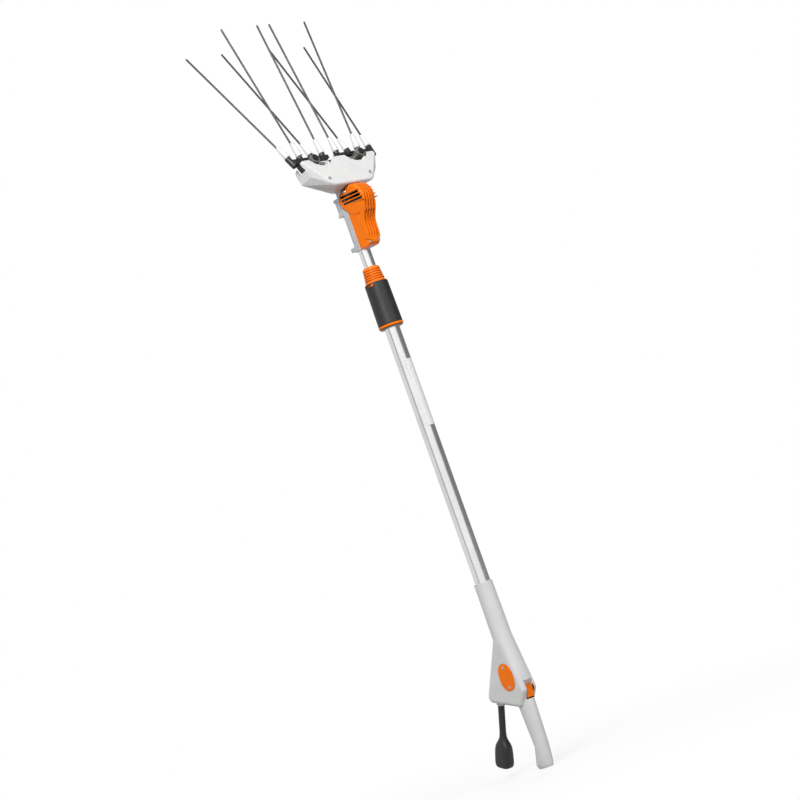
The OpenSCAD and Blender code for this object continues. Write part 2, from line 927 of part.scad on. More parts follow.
module head_discs(inset) {
    front = [for (a = [0:30:90]) [front_edge*(1 - cos(a)) - head_front + inset, front_edge*(1 - sin(a)) + inset]];
    back = [for (a = [0:30:90])
        [head_back - slice_h - back_round*(1 - cos(a)) - inset, back_round*(1 - sin(a)) + inset]];
    each_side() {
        for (s = front) {
            head_disc(s, tip_round, tip_z, -1/2);
            translate([keel_x, 0, keel_z]) rod_y(s[0], s[0] + slice_h, keel_round - s[1], $fn = form_fn);
        }
        translate([head_half_w - cheek_inset, 0, cheek_z])
            rod_y(cheek_y, cheek_y + slice_h, cheek_round - inset, $fn = form_fn);
        for (s = back) {
            swept = [s[0], s[1] + end_sweep_share*max(0, s[0])];
            head_disc(swept, tip_round, tip_z, -1/2);
            head_disc(swept, corner_round, corner_z, 1/2);
            translate([back_keel_x, 0, keel_z + back_keel_lift])
                rod_y(s[0], s[0] + slice_h, keel_round - s[1], $fn = form_fn);
        }
    }
}

// Places a child on the sloping underside of the head, from its front edge backward
module under_head() {
    translate([0, base_front_y, -head_depth]) rotate([base_rise, 0, 0]) children();
}

module at_head_screws() {
    for (x = [-head_screw_x, head_screw_x]) translate([x, 0, head_screw_z]) children();
}

// Both head shells before they are parted: an open trough with scallops and end slots
module head_walls() {
    far = 2*head_half_w;
    difference() {
        hull() head_discs(0);
        difference() {
            hull() {
                head_discs(head_wall);
                translate([0, 0, trough_lift]) head_discs(head_wall);
            }
            at_head_screws() rod_y(-head_front, head_back, head_post_r);
            for (x = [-frame_post_x, frame_post_x]) translate([x, 0, frame_post_z])
                rod_y(frame_y + frame_t, head_back, frame_post_r);
        }
        for (x = [-scallop_x, scallop_x]) translate([x, 0, scallop_z]) rod_y(-far, far, scallop_r);
        each_side() span([end_slot_x, -end_slot_front, end_slot_z], [far, -end_slot_back, far]);
        span([hole_low_x, hole_front_y, -far], [hole_high_x, hole_back_y, frame_low_z]);
        at_head_screws() {
            rod_y(-far, head_screw_seat - head_front, head_pocket_r);
            rod_y(-far, head_screw_tail + gap, screw_hole_r);
        }
    }
}

module front_head_shell() {
    far = 2*head_half_w;
    color(white_plastic) in_head() intersection() {
        head_walls();
        span([-far, -far, -far], [far, head_split_y, far]);
    }
}

module rear_head_shell() {
    far = 2*head_half_w;
    color(white_plastic) in_head() intersection() {
        head_walls();
        span([-far, head_split_y, -far], [far, far, far]);
    }
}

module head_screws() {
    color(steel) in_head() at_head_screws() rotate([0, 0, -90])
        screw_x(head_front - head_screw_seat, -head_screw_tail);
}

module head_seal() {
    color(black_plastic) in_head() difference() {
        under_head() span([-seal_half_w, 0, -seal_t], [seal_half_w, seal_l, -seat]);
        span([hole_low_x, hole_front_y, cover_top_z - over], [hole_high_x, hole_back_y, frame_low_z]);
    }
}

// Grey cast spine: tube socket, saddle of the head, seat of the motor, lugs and foot clamp
module spine() {
    color(cast_grey) difference() {
        union() {
            difference() {
                rod_z(spine_z, spine_top_z, spine_half);
                span([-spine_w, -spine_w, spine_z - over], [spine_w, spine_front_y, spine_top_z + over]);
            }
            span([cover_wall + seat - spine_half, spine_front_y, spine_z],
                [spine_half - cover_wall - seat, 0, spine_top_z]);
            span([-spine_half, skirt_y + seat, spine_z], [spine_half, 0, spine_top_z]);
            span([-foot_lug_w/2, 0, foot_lug_z], [foot_lug_w/2, foot_lug_reach, foot_lug_z + foot_lug_h]);
            for (z = [low_lug_z, high_lug_z]) span([-lug_w/2, 0, z], [lug_w/2, lug_reach, z + lug_t]);
            span([-web_w/2, 0, low_lug_z], [web_w/2, web_reach, high_lug_z]);
            for (x = [-controller_side, controller_side], s = controller_post_shares)
                translate([x, 0, controller_z + s*controller_h]) rod_y(controller_face_y, 0, controller_post_r);
        }
        rod_z(spine_z - over, slide_top_z, slide_r + seat);
        span([-foot_slit_w/2, 0, spine_z - over], [foot_slit_w/2, foot_lug_reach + over, spine_z + foot_slit_h]);
        translate([0, foot_bolt_y, foot_lug_z + foot_lug_h/2]) rod_x(-foot_lug_w, foot_lug_w, screw_hole_r);
        at_motor() drum_slab(-drum_w, drum_w, drum_seat_gap);
        in_head() under_head() span([-drum_w, -2*drum_r, -seal_t - drum_seat_gap], [drum_w, seal_l + gap, drum_r]);
        in_head() hull() head_discs(-drum_seat_gap);
        for (x = [-cover_screw_x, cover_screw_x]) translate([x, 0, cover_screw_z])
            rod_y(spine_front_y - over, spine_front_y + cover_screw_tail + gap, screw_hole_r);
    }
}

module foot_bolt() {
    color(steel) translate([0, foot_bolt_y, foot_lug_z + foot_lug_h/2])
        screw_x(foot_lug_w/2, -foot_lug_w/2 - screw_head_h);
}

// Drum of the cover as a turned form, its back and chin, and the straight part below, drawn in by inset
module drum_form(inset) {
    r = drum_r - inset;
    half = drum_w/2 - inset;
    rim = [for (a = [0:22.5:90]) [r - drum_edge + drum_edge*cos(a), half - drum_edge + drum_edge*sin(a)]];
    low_rim = [for (a = [90:-22.5:0]) [r - drum_edge + drum_edge*cos(a), drum_edge - half - drum_edge*sin(a)]];
    at_motor() rotate([0, 90, 0]) rotate_extrude() polygon(concat([[0, -half]], low_rim, rim, [[0, half]]));
}

// Outline of the drum with its back, as a slab across X
module drum_slab(x0, x1, grow) {
    turn = atan2(drum_back[1], drum_back[0]);
    open = acos((drum_r - drum_back_r)/norm(drum_back));
    out = [for (a = [turn + open, turn - open]) [cos(a), sin(a)]];
    rod_x(x0, x1, drum_r + grow);
    translate([0, drum_back[0], drum_back[1]]) rod_x(x0, x1, drum_back_r + grow);
    translate([x0, 0, 0]) rotate([90, 0, 90]) linear_extrude(x1 - x0) polygon([out[0]*(drum_r + grow),
        drum_back + out[0]*(drum_back_r + grow), drum_back + out[1]*(drum_back_r + grow), out[1]*(drum_r + grow)]);
}

module lower_cover_form(inset) {
    half = spine_half - inset;
    hull() {
        puck(cover_corner - cover_reach, cover_neck_z, cover_corner - inset, half - cover_draft, cover_edge);
        puck(cover_corner + cover_foot_y, spine_z + cover_corner, cover_corner - inset,
            half - cover_draft, cover_edge);
        span([-half, spine_front_y - cover_full, spine_z + inset], [half, spine_front_y, cover_back_z]);
    }
}

module chin_form(inset) {
    at_motor() hull() {
        puck(0, 0, drum_r - chin_inset - inset, drum_w/2 - inset, drum_edge);
        puck(drum_back[0], drum_back[1], drum_back_r - inset, drum_w/2 - inset, drum_edge);
        puck(chin_y, chin_z, chin_round - inset, drum_w/2 - chin_draft - inset, cover_edge);
    }
}

module cover_form(inset) {
    drum_form(inset);
    chin_form(inset);
    lower_cover_form(inset);
}

// Places a child at a louvre's height on the drum, where whole numbers are slats and halves are slots
module at_louvre(i) {
    at_motor() translate([0, 0, vent_high + vent_pitch/2 - i*vent_pitch])
        rotate([head_tilt + vent_drop, 0, 0]) children();
}

module louvre_slat() {
    root = drum_w/2 - over;
    tip = drum_w/2 + fin_reach;
    front = -drum_r - fin_front;
    translate([0, 0, -fin_t/2]) linear_extrude(fin_t)
        polygon([[root, vent_l/2], [root, front], [tip, front], [tip, front + fin_tip]]);
}

module louvre_slot() {
    span([cover_inner_x - over, -vent_l/2, -vent_w/2], [drum_w, vent_l/2, vent_w/2]);
}

module at_cover_screws() {
    for (x = [-cover_screw_x, cover_screw_x]) translate([x, 0, cover_screw_z]) children();
}

module motor_cover() {
    far = 4*drum_r;
    color(orange) difference() {
        union() {
            cover_form(0);
            span([-spine_half, spine_front_y - over, spine_z], [spine_half, skirt_y, cover_back_z]);
            for (i = [0:louvres - 1]) each_side() at_louvre(i) louvre_slat();
        }
        difference() {
            cover_form(cover_wall);
            at_cover_screws() rod_y(-cover_reach, spine_front_y, cover_post_r);
        }
        in_head() span([-cover_inner_x, drum_y, drum_z - drum_open_share*drum_r],
            [cover_inner_x, far, cover_top_z - cover_wall]);
        span([cover_wall - spine_half, spine_front_y - cover_wall, spine_z + cover_wall],
            [spine_half - cover_wall, far, cover_back_z]);
        span([cover_wall - spine_half, spine_front_y, 0], [spine_half - cover_wall, far, cover_back_z]);
        in_head() under_head() span([-far, -far, -seal_t], [far, far, far]);
        in_head() span([hole_low_x, hole_front_y, drum_z], [hole_high_x - over, hole_back_y, far]);
        difference() {
            for (i = [0:cover_grooves - 1]) translate([(i - (cover_grooves - 1)/2)*groove_pitch, 0, 0])
                span([-groove_w/2, -far, groove_foot_z], [groove_w/2, groove_back_y, head_z]);
            cover_form(groove_depth);
        }
        for (i = [1:louvres - 1]) each_side() at_louvre(i - 1/2) louvre_slot();
        at_cover_screws() {
            rod_y(-far, cover_screw_y, screw_head_r + gap);
            rod_y(-far, spine_front_y + over, screw_hole_r);
        }
    }
}

module motor_cover_screws() {
    color(steel) at_cover_screws() rotate([0, 0, -90])
        screw_x(-cover_screw_y, -spine_front_y - cover_screw_tail);
}

// Plate with the bearing hub, seated on the spine by its tab
module motor_plate() {
    color(cast_grey) at_motor() difference() {
        union() {
            rod_x(0, plate_t, plate_r);
            rod_x(motor_back_x, 0, stator_hub_r);
            intersection() {
                drum_slab(0, plate_t, 0);
                span([0, 0, -plate_tab/2], [plate_t, 2*drum_r, plate_tab/2]);
            }
        }
        rod_x(motor_back_x - over, plate_t + over, bearing_r + seat);
    }
}

module motor_stator() {
    color([0.55, 0.3, 0.15]) at_motor() difference() {
        rod_x(motor_back_x, stator_front_x, stator_r);
        rod_x(motor_back_x - over, 0, stator_hub_r + seat);
    }
}

module shaft_bearings() {
    color(steel) at_motor() for (x = [motor_back_x, plate_t - bearing_t]) difference() {
        rod_x(x, x + bearing_t, bearing_r);
        rod_x(x - over, x + bearing_t + over, shaft_r + fit);
    }
}

module motor_rotor() {
    color([0.35, 0.36, 0.38]) at_motor() {
        difference() {
            rod_x(bell_back_x, bell_front_x, bell_r);
            rod_x(bell_back_x + bell_wall, bell_front_x + over, bell_r - bell_wall);
        }
        rod_x(bell_back_x + bell_wall, crank_x, shaft_r);
    }
}

module crank() {
    color(steel) at_motor() {
        rod_x(crank_x, crank_x + crank_t, crank_r);
        rotate([crank_rest, 0, 0]) translate([0, 0, -crank_throw])
            rod_x(crank_x + crank_t, cover_inner_x - crank_pin_gap, crank_pin_r);
    }
}

module motor_controller() {
    back = controller_face_y - controller_t;
    color(board_green) {
        span([-controller_w/2, back, controller_z], [controller_w/2, controller_face_y, controller_z + controller_h]);
        for (x = [-capacitor_x, capacitor_x]) translate([x, 0, controller_z + controller_h/2])
            rod_y(back - capacitor_l, back, capacitor_r);
    }
}

// Cast frame in the head: rear plate, pivot bosses and the bridge that guides the stem
module head_frame() {
    color(cast_grey) in_head() difference() {
        union() {
            span([-frame_half_w, frame_y, frame_low_z], [frame_half_w, frame_y + frame_t, frame_high_z]);
            for (x = [-pivot_x, pivot_x]) translate([x, 0, 0]) {
                translate([0, 0, pivot_z]) rod_y(frame_y, frame_y + pivot_boss_t, pivot_boss_r);
                span([-pivot_boss_r, frame_y, frame_high_z - over], [pivot_boss_r, frame_y + frame_t, pivot_z]);
            }
            span([-bridge_half_w, bridge_front_y, bridge_z], [bridge_half_w, frame_y + frame_t, bridge_z + bridge_h]);
        }
        for (x = [-pivot_x, pivot_x]) translate([x, 0, pivot_z])
            rod_y(frame_y - over, frame_y + pivot_boss_t + over, pivot_r + seat);
        translate([0, drum_y, 0]) rod_z(bridge_z - over, bridge_z + bridge_h + over, guide_r + seat);
    }
}

module stem_bush() {
    color([0.75, 0.6, 0.3]) in_head() translate([0, drum_y, 0]) difference() {
        rod_z(bridge_z, bridge_z + bridge_h, guide_r);
        rod_z(bridge_z - over, bridge_z + bridge_h + over, stem_r + fit);
    }
}

module pivot_pins() {
    color(steel) in_head() for (x = [-pivot_x, pivot_x]) translate([x, 0, pivot_z])
        rod_y(hub_front_y + gap, frame_y + pivot_boss_t, pivot_r);
}

// Upright oblong across the yoke's big end
module yoke_oblong(x0, x1, r) {
    translate([0, 0, yoke_slot_z]) {
        span([x0, -yoke_slot_y, -r], [x1, yoke_slot_y, r]);
        for (y = [-yoke_slot_y, yoke_slot_y]) translate([0, y, 0]) rod_x(x0, x1, r);
    }
}

// Yoke: slotted big end, arm, stem and crosshead with the levers' slots
module drive_yoke() {
    half = yoke_arm_w/2;
    end_x = yoke_x + yoke_t;
    color(steel) in_head() translate([0, drum_y, 0]) difference() {
        union() {
            yoke_oblong(yoke_x, end_x, yoke_plate_r);
            span([yoke_x, -half, yoke_slot_z], [end_x, half, yoke_block_z + yoke_block_h]);
            span([-stem_r, -half, yoke_block_z], [end_x, half, yoke_block_z + yoke_block_h]);
            rod_z(yoke_block_z + over, cross_z + over, stem_r);
            span([-cross_half_w, -cross_t, cross_z], [cross_half_w, 0, cross_z + cross_h]);
        }
        yoke_oblong(yoke_x - over, end_x + over, yoke_slot_r);
        for (x = [-drive_pin_x, drive_pin_x])
            span([x - cross_slot_l/2, -cross_t - over, drive_pin_z - drive_pin_r - gap],
                [x + cross_slot_l/2, stem_r + over, drive_pin_z + drive_pin_r + gap]);
    }
}

// One comb's pieces, drawn for the +X side and mirrored for the other
module on_side(side) {
    mirror([side < 0 ? 1 : 0, 0, 0]) children();
}

module rocker(side) {
    end = [-lever_l*cos(lever_droop), -lever_l*sin(lever_droop)];
    up = [-sin(lever_droop), cos(lever_droop)];
    color(cast_grey) in_head() on_side(side) translate([pivot_x, 0, pivot_z]) difference() {
        union() {
            rod_y(hub_front_y, frame_y - gap, hub_r);
            translate([0, lever_front_y + lever_t, 0]) rotate([90, 0, 0]) linear_extrude(lever_t) {
                polygon([up*lever_root_h/2, end + up*lever_end_r, end - up*lever_end_r, -up*lever_root_h/2]);
                translate(end) circle(r = lever_end_r);
            }
            translate([end[0], 0, end[1]]) rod_y(drum_y - cross_t, lever_front_y + over, drive_pin_r);
        }
        rod_y(hub_front_y - over, frame_y + over, pivot_r + fit);
    }
}

module hub_cap(side) {
    color(black_plastic) in_head() on_side(side) translate([pivot_x, 0, pivot_z])
        rod_y(hub_front_y - hub_cap_t, hub_front_y, hub_cap_r);
}

// Places a child at the root of tine i, with Z along the tine
module at_tine(side, i) {
    lean = i % 2 == 0 ? -row_lean : row_lean;
    in_head() on_side(side) translate([tine_inset + i*tine_pitch, bar_mid_y, root_z])
        rotate([-lean, 0, 0]) rotate([0, fan_first + i*fan_step, 0]) children();
}

module tine_bar(side) {
    inner = tine_inset - holder_r - bar_end;
    outer = tine_inset + (tines - 1)*tine_pitch;
    color(black_plastic) difference() {
        union() {
            in_head() on_side(side)
                span([inner, bar_mid_y - bar_t/2, bar_low_z], [outer, bar_mid_y + bar_t/2, bar_low_z + bar_h]);
            for (i = [0:tines - 1]) at_tine(side, i)
                rod_z(i < tines - 1 ? -holder_l : -end_holder_l, 0, holder_r);
        }
        for (i = [0:tines - 1]) at_tine(side, i) rod_z(-socket_l, over, tine_d/2 + seat);
        in_head() on_side(side) translate([pivot_x, 0, pivot_z]) rod_y(hub_front_y, head_back, hub_r + seat);
    }
}

module boots(side) {
    color(white_plastic) for (i = [0:tines - 1]) at_tine(side, i) difference() {
        union() {
            rod_z(0, boot_foot_l, boot_r);
            translate([0, 0, boot_foot_l]) cylinder(h = boot_l - boot_foot_l, r1 = boot_r, r2 = boot_tip_r);
        }
        rod_z(-over, boot_l + over, tine_d/2 + seat);
    }
}

module tine_rods(side) {
    color([0.2, 0.2, 0.21]) for (i = [0:tines - 1]) at_tine(side, i)
        rod_z(-socket_l, boot_l + tine_l, tine_d/2);
}

module left_rocker() { rocker(-1); }
module left_hub_cap() { hub_cap(-1); }
module left_tine_bar() { tine_bar(-1); }
module left_boots() { boots(-1); }
module left_tines() { tine_rods(-1); }
module right_rocker() { rocker(1); }
module right_hub_cap() { hub_cap(1); }
module right_tine_bar() { tine_bar(1); }
module right_boots() { boots(1); }
module right_tines() { tine_rods(1); }

left_handle_shell();
right_handle_shell();
handle_screws();
oval_cover();
oval_cover_screws();
trigger();
trigger_pin();
trigger_switch();
control_board();
lead_collar();
lead();
plug_body();
lower_tube();
clamp_core();
clamp_insert();
clamp_collet();
clamp_sleeve();
upper_tube();
guide_bush();
spine();
foot_bolt();
motor_cover();
motor_cover_screws();
motor_plate();
motor_stator();
shaft_bearings();
motor_rotor();
crank();
motor_controller();
front_head_shell();
rear_head_shell();
head_screws();
head_seal();
head_frame();
stem_bush();
pivot_pins();
drive_yoke();
left_rocker();
left_hub_cap();
left_tine_bar();
left_boots();
left_tines();
right_rocker();
right_hub_cap();
right_tine_bar();
right_boots();
right_tines();
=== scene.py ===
# %% [markdown]
# # Electric olive harvester on a telescopic pole
# A motor head with two combs of long tines sits on a pole that slides in a handle's tube. The packed
# solids come in as a fixed frame, in metres, with +Z up the pole. Each cell below takes one piece or one
# finish, says what it is on the real tool, and dresses it.

# %% Load the frame and keep its box
import math

import bmesh
import bpy
import numpy as np
from mathutils import Matrix, Vector
from mathutils.bvhtree import BVHTree


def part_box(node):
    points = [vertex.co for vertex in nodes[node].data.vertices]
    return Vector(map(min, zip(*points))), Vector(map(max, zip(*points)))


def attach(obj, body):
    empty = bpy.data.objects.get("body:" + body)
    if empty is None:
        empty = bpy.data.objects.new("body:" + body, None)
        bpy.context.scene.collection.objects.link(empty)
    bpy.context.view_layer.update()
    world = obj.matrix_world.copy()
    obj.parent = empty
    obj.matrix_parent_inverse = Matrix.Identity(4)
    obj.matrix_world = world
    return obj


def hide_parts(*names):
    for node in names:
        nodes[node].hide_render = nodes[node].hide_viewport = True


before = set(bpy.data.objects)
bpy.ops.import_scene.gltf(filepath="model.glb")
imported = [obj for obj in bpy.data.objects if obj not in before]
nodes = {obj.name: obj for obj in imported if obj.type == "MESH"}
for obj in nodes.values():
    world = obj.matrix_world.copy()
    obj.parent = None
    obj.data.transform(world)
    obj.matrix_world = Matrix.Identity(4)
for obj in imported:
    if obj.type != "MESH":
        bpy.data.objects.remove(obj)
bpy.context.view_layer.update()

# %% [markdown]
# ## Camera
# The picture was taken from a good distance with a long lens, a little below the middle of the pole, and the pole
# leans in the frame. Three angles, a lens and a place give that view. A Track To constraint could aim the camera, but
# it keeps the picture level, so the camera's own axes are worked out from the angles, the roll among them.

# %% Camera
VIEW_AZIMUTH, VIEW_ELEVATION, VIEW_ROLL = math.radians(-42.83), math.radians(-5.84), math.radians(-19.63)
VIEW_MIDDLE = Vector((0.0, 0.0, 0.95))
VIEW_SHIFT = Vector((-0.0309, -0.0318, 5.459))
LENS_MM, SENSOR_MM = 103.05, 36.0

back = Vector((
    math.sin(VIEW_AZIMUTH) * math.cos(VIEW_ELEVATION),
    -math.cos(VIEW_AZIMUTH) * math.cos(VIEW_ELEVATION),
    math.sin(VIEW_ELEVATION),
))
level = Vector((math.cos(VIEW_AZIMUTH), math.sin(VIEW_AZIMUTH), 0.0))
rise = back.cross(level)
right = math.cos(VIEW_ROLL) * level + math.sin(VIEW_ROLL) * rise
up = -math.sin(VIEW_ROLL) * level + math.cos(VIEW_ROLL) * rise
place = VIEW_MIDDLE + VIEW_SHIFT.x * right + VIEW_SHIFT.y * up + VIEW_SHIFT.z * back

camera_data = bpy.data.cameras.new("photo_camera")
camera_data.lens, camera_data.sensor_width, camera_data.sensor_fit = LENS_MM, SENSOR_MM, "HORIZONTAL"
camera_data.clip_start, camera_data.clip_end = 0.1, 100.0
camera = bpy.data.objects.new("photo_camera", camera_data)
bpy.context.scene.collection.objects.link(camera)
turn = Matrix((right, up, back)).transposed().to_4x4()
camera.matrix_world = Matrix.Translation(place) @ turn
bpy.context.scene.camera = camera
print("camera at", [round(v, 3) for v in place])

# %% [markdown]
# ## Small helpers for node trees
# Shader trees and geometry trees are both built from the same few moves: add a node, set its plain
# values, and join sockets. A short helper keeps every tree below readable.

# %% Node helpers
def ink(red, green, blue):
    """A colour as it looks on a screen, 0 to 255, turned to the linear numbers that shaders use."""
    def linear(c):
        c /= 255.0
        return c / 12.92 if c <= 0.04045 else ((c + 0.055) / 1.055) ** 2.4
    return (linear(red), linear(green), linear(blue), 1.0)


def put(tree, socket, value):
    """Joins a socket to another one, or sets its plain value."""
    if isinstance(value, bpy.types.NodeSocket):
        tree.links.new(value, socket)
    elif value is not None:
        socket.default_value = value


def add(tree, kind, settings=None, **inputs):
    """Adds a node. settings are its own choices, inputs are sockets by name, or i0, i1 and so on by place."""
    node = tree.nodes.new(kind)
    for key, value in (settings or {}).items():
        setattr(node, key, value)
    for key, value in inputs.items():
        by_place = key[0] == "i" and key[1:].isdigit()
        put(tree, node.inputs[int(key[1:]) if by_place else key.replace("_", " ")], value)
    return node


def math_node(tree, operation, a, b=None, clamp=False):
    """A Math node's result."""
    node = tree.nodes.new("ShaderNodeMath")
    node.operation, node.use_clamp = operation, clamp
    for socket, value in zip(node.inputs, (a, b)):
        put(tree, socket, value)
    return node.outputs[0]


def shader_group(name, inputs, outputs):
    """A shader node group with named sockets: (name, kind, default) going in and (name, kind) coming out."""
    tree = bpy.data.node_groups.new(name, "ShaderNodeTree")
    for label, kind, default in inputs:
        socket = tree.interface.new_socket(label, in_out="INPUT", socket_type="NodeSocket" + kind)
        if default is not None:
            socket.default_value = default
    for label, kind in outputs:
        tree.interface.new_socket(label, in_out="OUTPUT", socket_type="NodeSocket" + kind)
    return tree, tree.nodes.new("NodeGroupInput"), tree.nodes.new("NodeGroupOutput")


print("node helpers ready")

# %% [markdown]
# ## Shared surface effects
# Moulded plastic is never one even colour. It has a fine spark-eroded grain from the mould, a slow drift
# in tone where the melt flowed, and faint rubs from hands. Drawn metal has streaks along its length. Each
# effect is one group, so every material can use it with its own numbers.

# %% Group: moulded grain
PIT_SHARE, SOFT_SHARE, SOFT_COARSER = 0.7, 0.8, 0.45
grain, g_in, g_out = shader_group(
    "moulded grain", [("Vector", "Vector", None), ("Scale", "Float", 900.0)], [("Height", "Float")])
pits = add(grain, "ShaderNodeTexVoronoi", {"feature": "SMOOTH_F1"}, Vector=g_in.outputs["Vector"],
           Scale=g_in.outputs["Scale"], Smoothness=0.6)
soft = add(grain, "ShaderNodeTexNoise", None, Vector=g_in.outputs["Vector"],
           Scale=math_node(grain, "MULTIPLY", g_in.outputs["Scale"], SOFT_COARSER), Detail=3.0, Roughness=0.6)
height = math_node(grain, "ADD", math_node(grain, "MULTIPLY", pits.outputs["Distance"], PIT_SHARE),
                   math_node(grain, "MULTIPLY", soft.outputs["Fac"], SOFT_SHARE))
grain.links.new(height, g_out.inputs["Height"])
print("moulded grain:", len(grain.nodes), "nodes")

# %% Group: tone drift
WIDE_SHARE, FINE_SHARE, TIMES_FINER = 0.75, 0.25, 22.0
drift, d_in, d_out = shader_group(
    "tone drift",
    [("Vector", "Vector", None), ("Light", "Color", (1, 1, 1, 1)), ("Dark", "Color", (0.8, 0.8, 0.8, 1)),
     ("Scale", "Float", 14.0)],
    [("Color", "Color"), ("Mask", "Float")])
wide = add(drift, "ShaderNodeTexNoise", None, Vector=d_in.outputs["Vector"], Scale=d_in.outputs["Scale"],
           Detail=4.0, Roughness=0.55)
fine = add(drift, "ShaderNodeTexNoise", None, Vector=d_in.outputs["Vector"],
           Scale=math_node(drift, "MULTIPLY", d_in.outputs["Scale"], TIMES_FINER), Detail=2.0)
both = math_node(drift, "ADD", math_node(drift, "MULTIPLY", wide.outputs["Fac"], WIDE_SHARE),
                 math_node(drift, "MULTIPLY", fine.outputs["Fac"], FINE_SHARE))
spread = add(drift, "ShaderNodeMapRange", {"interpolation_type": "SMOOTHSTEP"}, Value=both,
             From_Min=0.36, From_Max=0.64)
tone = add(drift, "ShaderNodeMix", {"data_type": "RGBA"}, i0=spread.outputs["Result"],
           i6=d_in.outputs["Dark"], i7=d_in.outputs["Light"])
drift.links.new(tone.outputs[2], d_out.inputs["Color"])
drift.links.new(spread.outputs["Result"], d_out.inputs["Mask"])
print("tone drift:", len(drift.nodes), "nodes")

# %% Group: handling rubs
HAIR_SHARE, HAIR_FINER = 0.6, 2.2
rubs, r_in, r_out = shader_group(
    "handling rubs",
    [("Vector", "Vector", None), ("Scale", "Float", 40.0), ("Plain", "Float", 0.4), ("Rubbed", "Float", 0.3)],
    [("Roughness", "Float"), ("Mask", "Float")])
cloud = add(rubs, "ShaderNodeTexNoise", None, Vector=r_in.outputs["Vector"], Scale=r_in.outputs["Scale"],
            Detail=6.0, Roughness=0.65, Distortion=0.6)
hair = add(rubs, "ShaderNodeTexWave", {"wave_type": "BANDS", "bands_direction": "DIAGONAL"},
           Vector=r_in.outputs["Vector"], Scale=math_node(rubs, "MULTIPLY", r_in.outputs["Scale"], HAIR_FINER),
           Distortion=38.0, Detail=4.0, Detail_Scale=1.6)
lines = add(rubs, "ShaderNodeMapRange", None, Value=hair.outputs["Fac"], From_Min=0.9, From_Max=1.0)
patch = add(rubs, "ShaderNodeMapRange", {"interpolation_type": "SMOOTHSTEP"}, Value=cloud.outputs["Fac"],
            From_Min=0.42, From_Max=0.68)
worn = math_node(rubs, "MAXIMUM", math_node(rubs, "MULTIPLY", lines.outputs["Result"], HAIR_SHARE),
                 patch.outputs["Result"])
blend = add(rubs, "ShaderNodeMix", {"data_type": "FLOAT"}, i0=worn, i2=r_in.outputs["Plain"],
            i3=r_in.outputs["Rubbed"])
rubs.links.new(blend.outputs[0], r_out.inputs["Roughness"])
rubs.links.new(worn, r_out.inputs["Mask"])
print("handling rubs:", len(rubs.nodes), "nodes")

# %% Group: drawn streaks
streaks, s_in, s_out = shader_group(
    "drawn streaks",
    [("Vector", "Vector", None), ("Fineness", "Float", 1500.0), ("Stretch", "Float", 0.004)],
    [("Mask", "Float")])
squeeze = add(streaks, "ShaderNodeCombineXYZ", None, X=s_in.outputs["Fineness"], Y=s_in.outputs["Fineness"],
              Z=math_node(streaks, "MULTIPLY", s_in.outputs["Fineness"], s_in.outputs["Stretch"]))
drawn = add(streaks, "ShaderNodeVectorMath", {"operation": "MULTIPLY"}, i0=s_in.outputs["Vector"],
            i1=squeeze.outputs["Vector"])
fibre = add(streaks, "ShaderNodeTexNoise", None, Vector=drawn.outputs["Vector"], Scale=1.0, Detail=5.0,
            Roughness=0.7)
streaks.links.new(fibre.outputs["Fac"], s_out.inputs["Mask"])
print("drawn streaks:", len(streaks.nodes), "nodes")

# %% [markdown]
# ## Finishes
# Each finish is a Principled shader fed by the groups. What is the same all over, such as the metal value,
# sits on the shader itself, and the groups give only what changes over the surface: tone, roughness and the
# height of the grain. Painted images could carry the same detail, but every piece would need its own map.

# %% A finish from the groups
COAT_ROUGH = 0.2


def group_node(tree, group, **inputs):
    """Places a shared effect in a material with its own values."""
    node = tree.nodes.new("ShaderNodeGroup")
    node.node_tree = group
    for key, value in inputs.items():
        put(tree, node.inputs[key], value)
    return node


def finish(name, light, dark, rough, rubbed, metal=0.0, grain_size=0.0011, grain_depth=0.00004,
           drift_size=0.07, rub_size=0.025, streak=None, coat=0.0, specular=0.5):
    """A moulded or metal finish. light and dark are screen colours, sizes are in metres, and streak gives the width,
    the squeeze along the tube, the tint and the sheen of drawn streaks."""
    material = bpy.data.materials.new(name)
    material.use_nodes = True
    tree = material.node_tree
    shader = tree.nodes["Principled BSDF"]
    where = tree.nodes.new("ShaderNodeTexCoord").outputs["Object"]
    colours = group_node(tree, drift, Vector=where, Light=ink(*light), Dark=ink(*dark), Scale=1.0 / drift_size)
    wear = group_node(tree, rubs, Vector=where, Scale=1.0 / rub_size, Plain=rough, Rubbed=rubbed)
    bumps = group_node(tree, grain, Vector=where, Scale=1.0 / grain_size)
    colour, roughness, tall = colours.outputs["Color"], wear.outputs["Roughness"], bumps.outputs["Height"]
    if streak:
        streak_width, squeeze_share, tint, sheen = streak
        lines = group_node(tree, streaks, Vector=where, Fineness=1.0 / streak_width, Stretch=squeeze_share)
        tall = lines.outputs["Mask"]
        shade = add(tree, "ShaderNodeMix", {"data_type": "RGBA", "blend_type": "MULTIPLY"},
                    i0=math_node(tree, "MULTIPLY", tall, tint), i6=colour, i7=ink(*dark))
        colour = shade.outputs[2]
        sway = math_node(tree, "MULTIPLY", math_node(tree, "SUBTRACT", tall, 0.5), sheen)
        roughness = math_node(tree, "ADD", roughness, sway, clamp=True)
    bump = add(tree, "ShaderNodeBump", None, Strength=1.0, Distance=grain_depth, Height=tall)
    tree.links.new(colour, shader.inputs["Base Color"])
    tree.links.new(roughness, shader.inputs["Roughness"])
    tree.links.new(bump.outputs["Normal"], shader.inputs["Normal"])
    shader.inputs["Metallic"].default_value = metal
    shader.inputs["Specular IOR Level"].default_value = specular
    shader.inputs["Coat Weight"].default_value = coat
    shader.inputs["Coat Roughness"].default_value = COAT_ROUGH
    return material


print("effects to draw on:", [g.name for g in (grain, drift, rubs, streaks)])

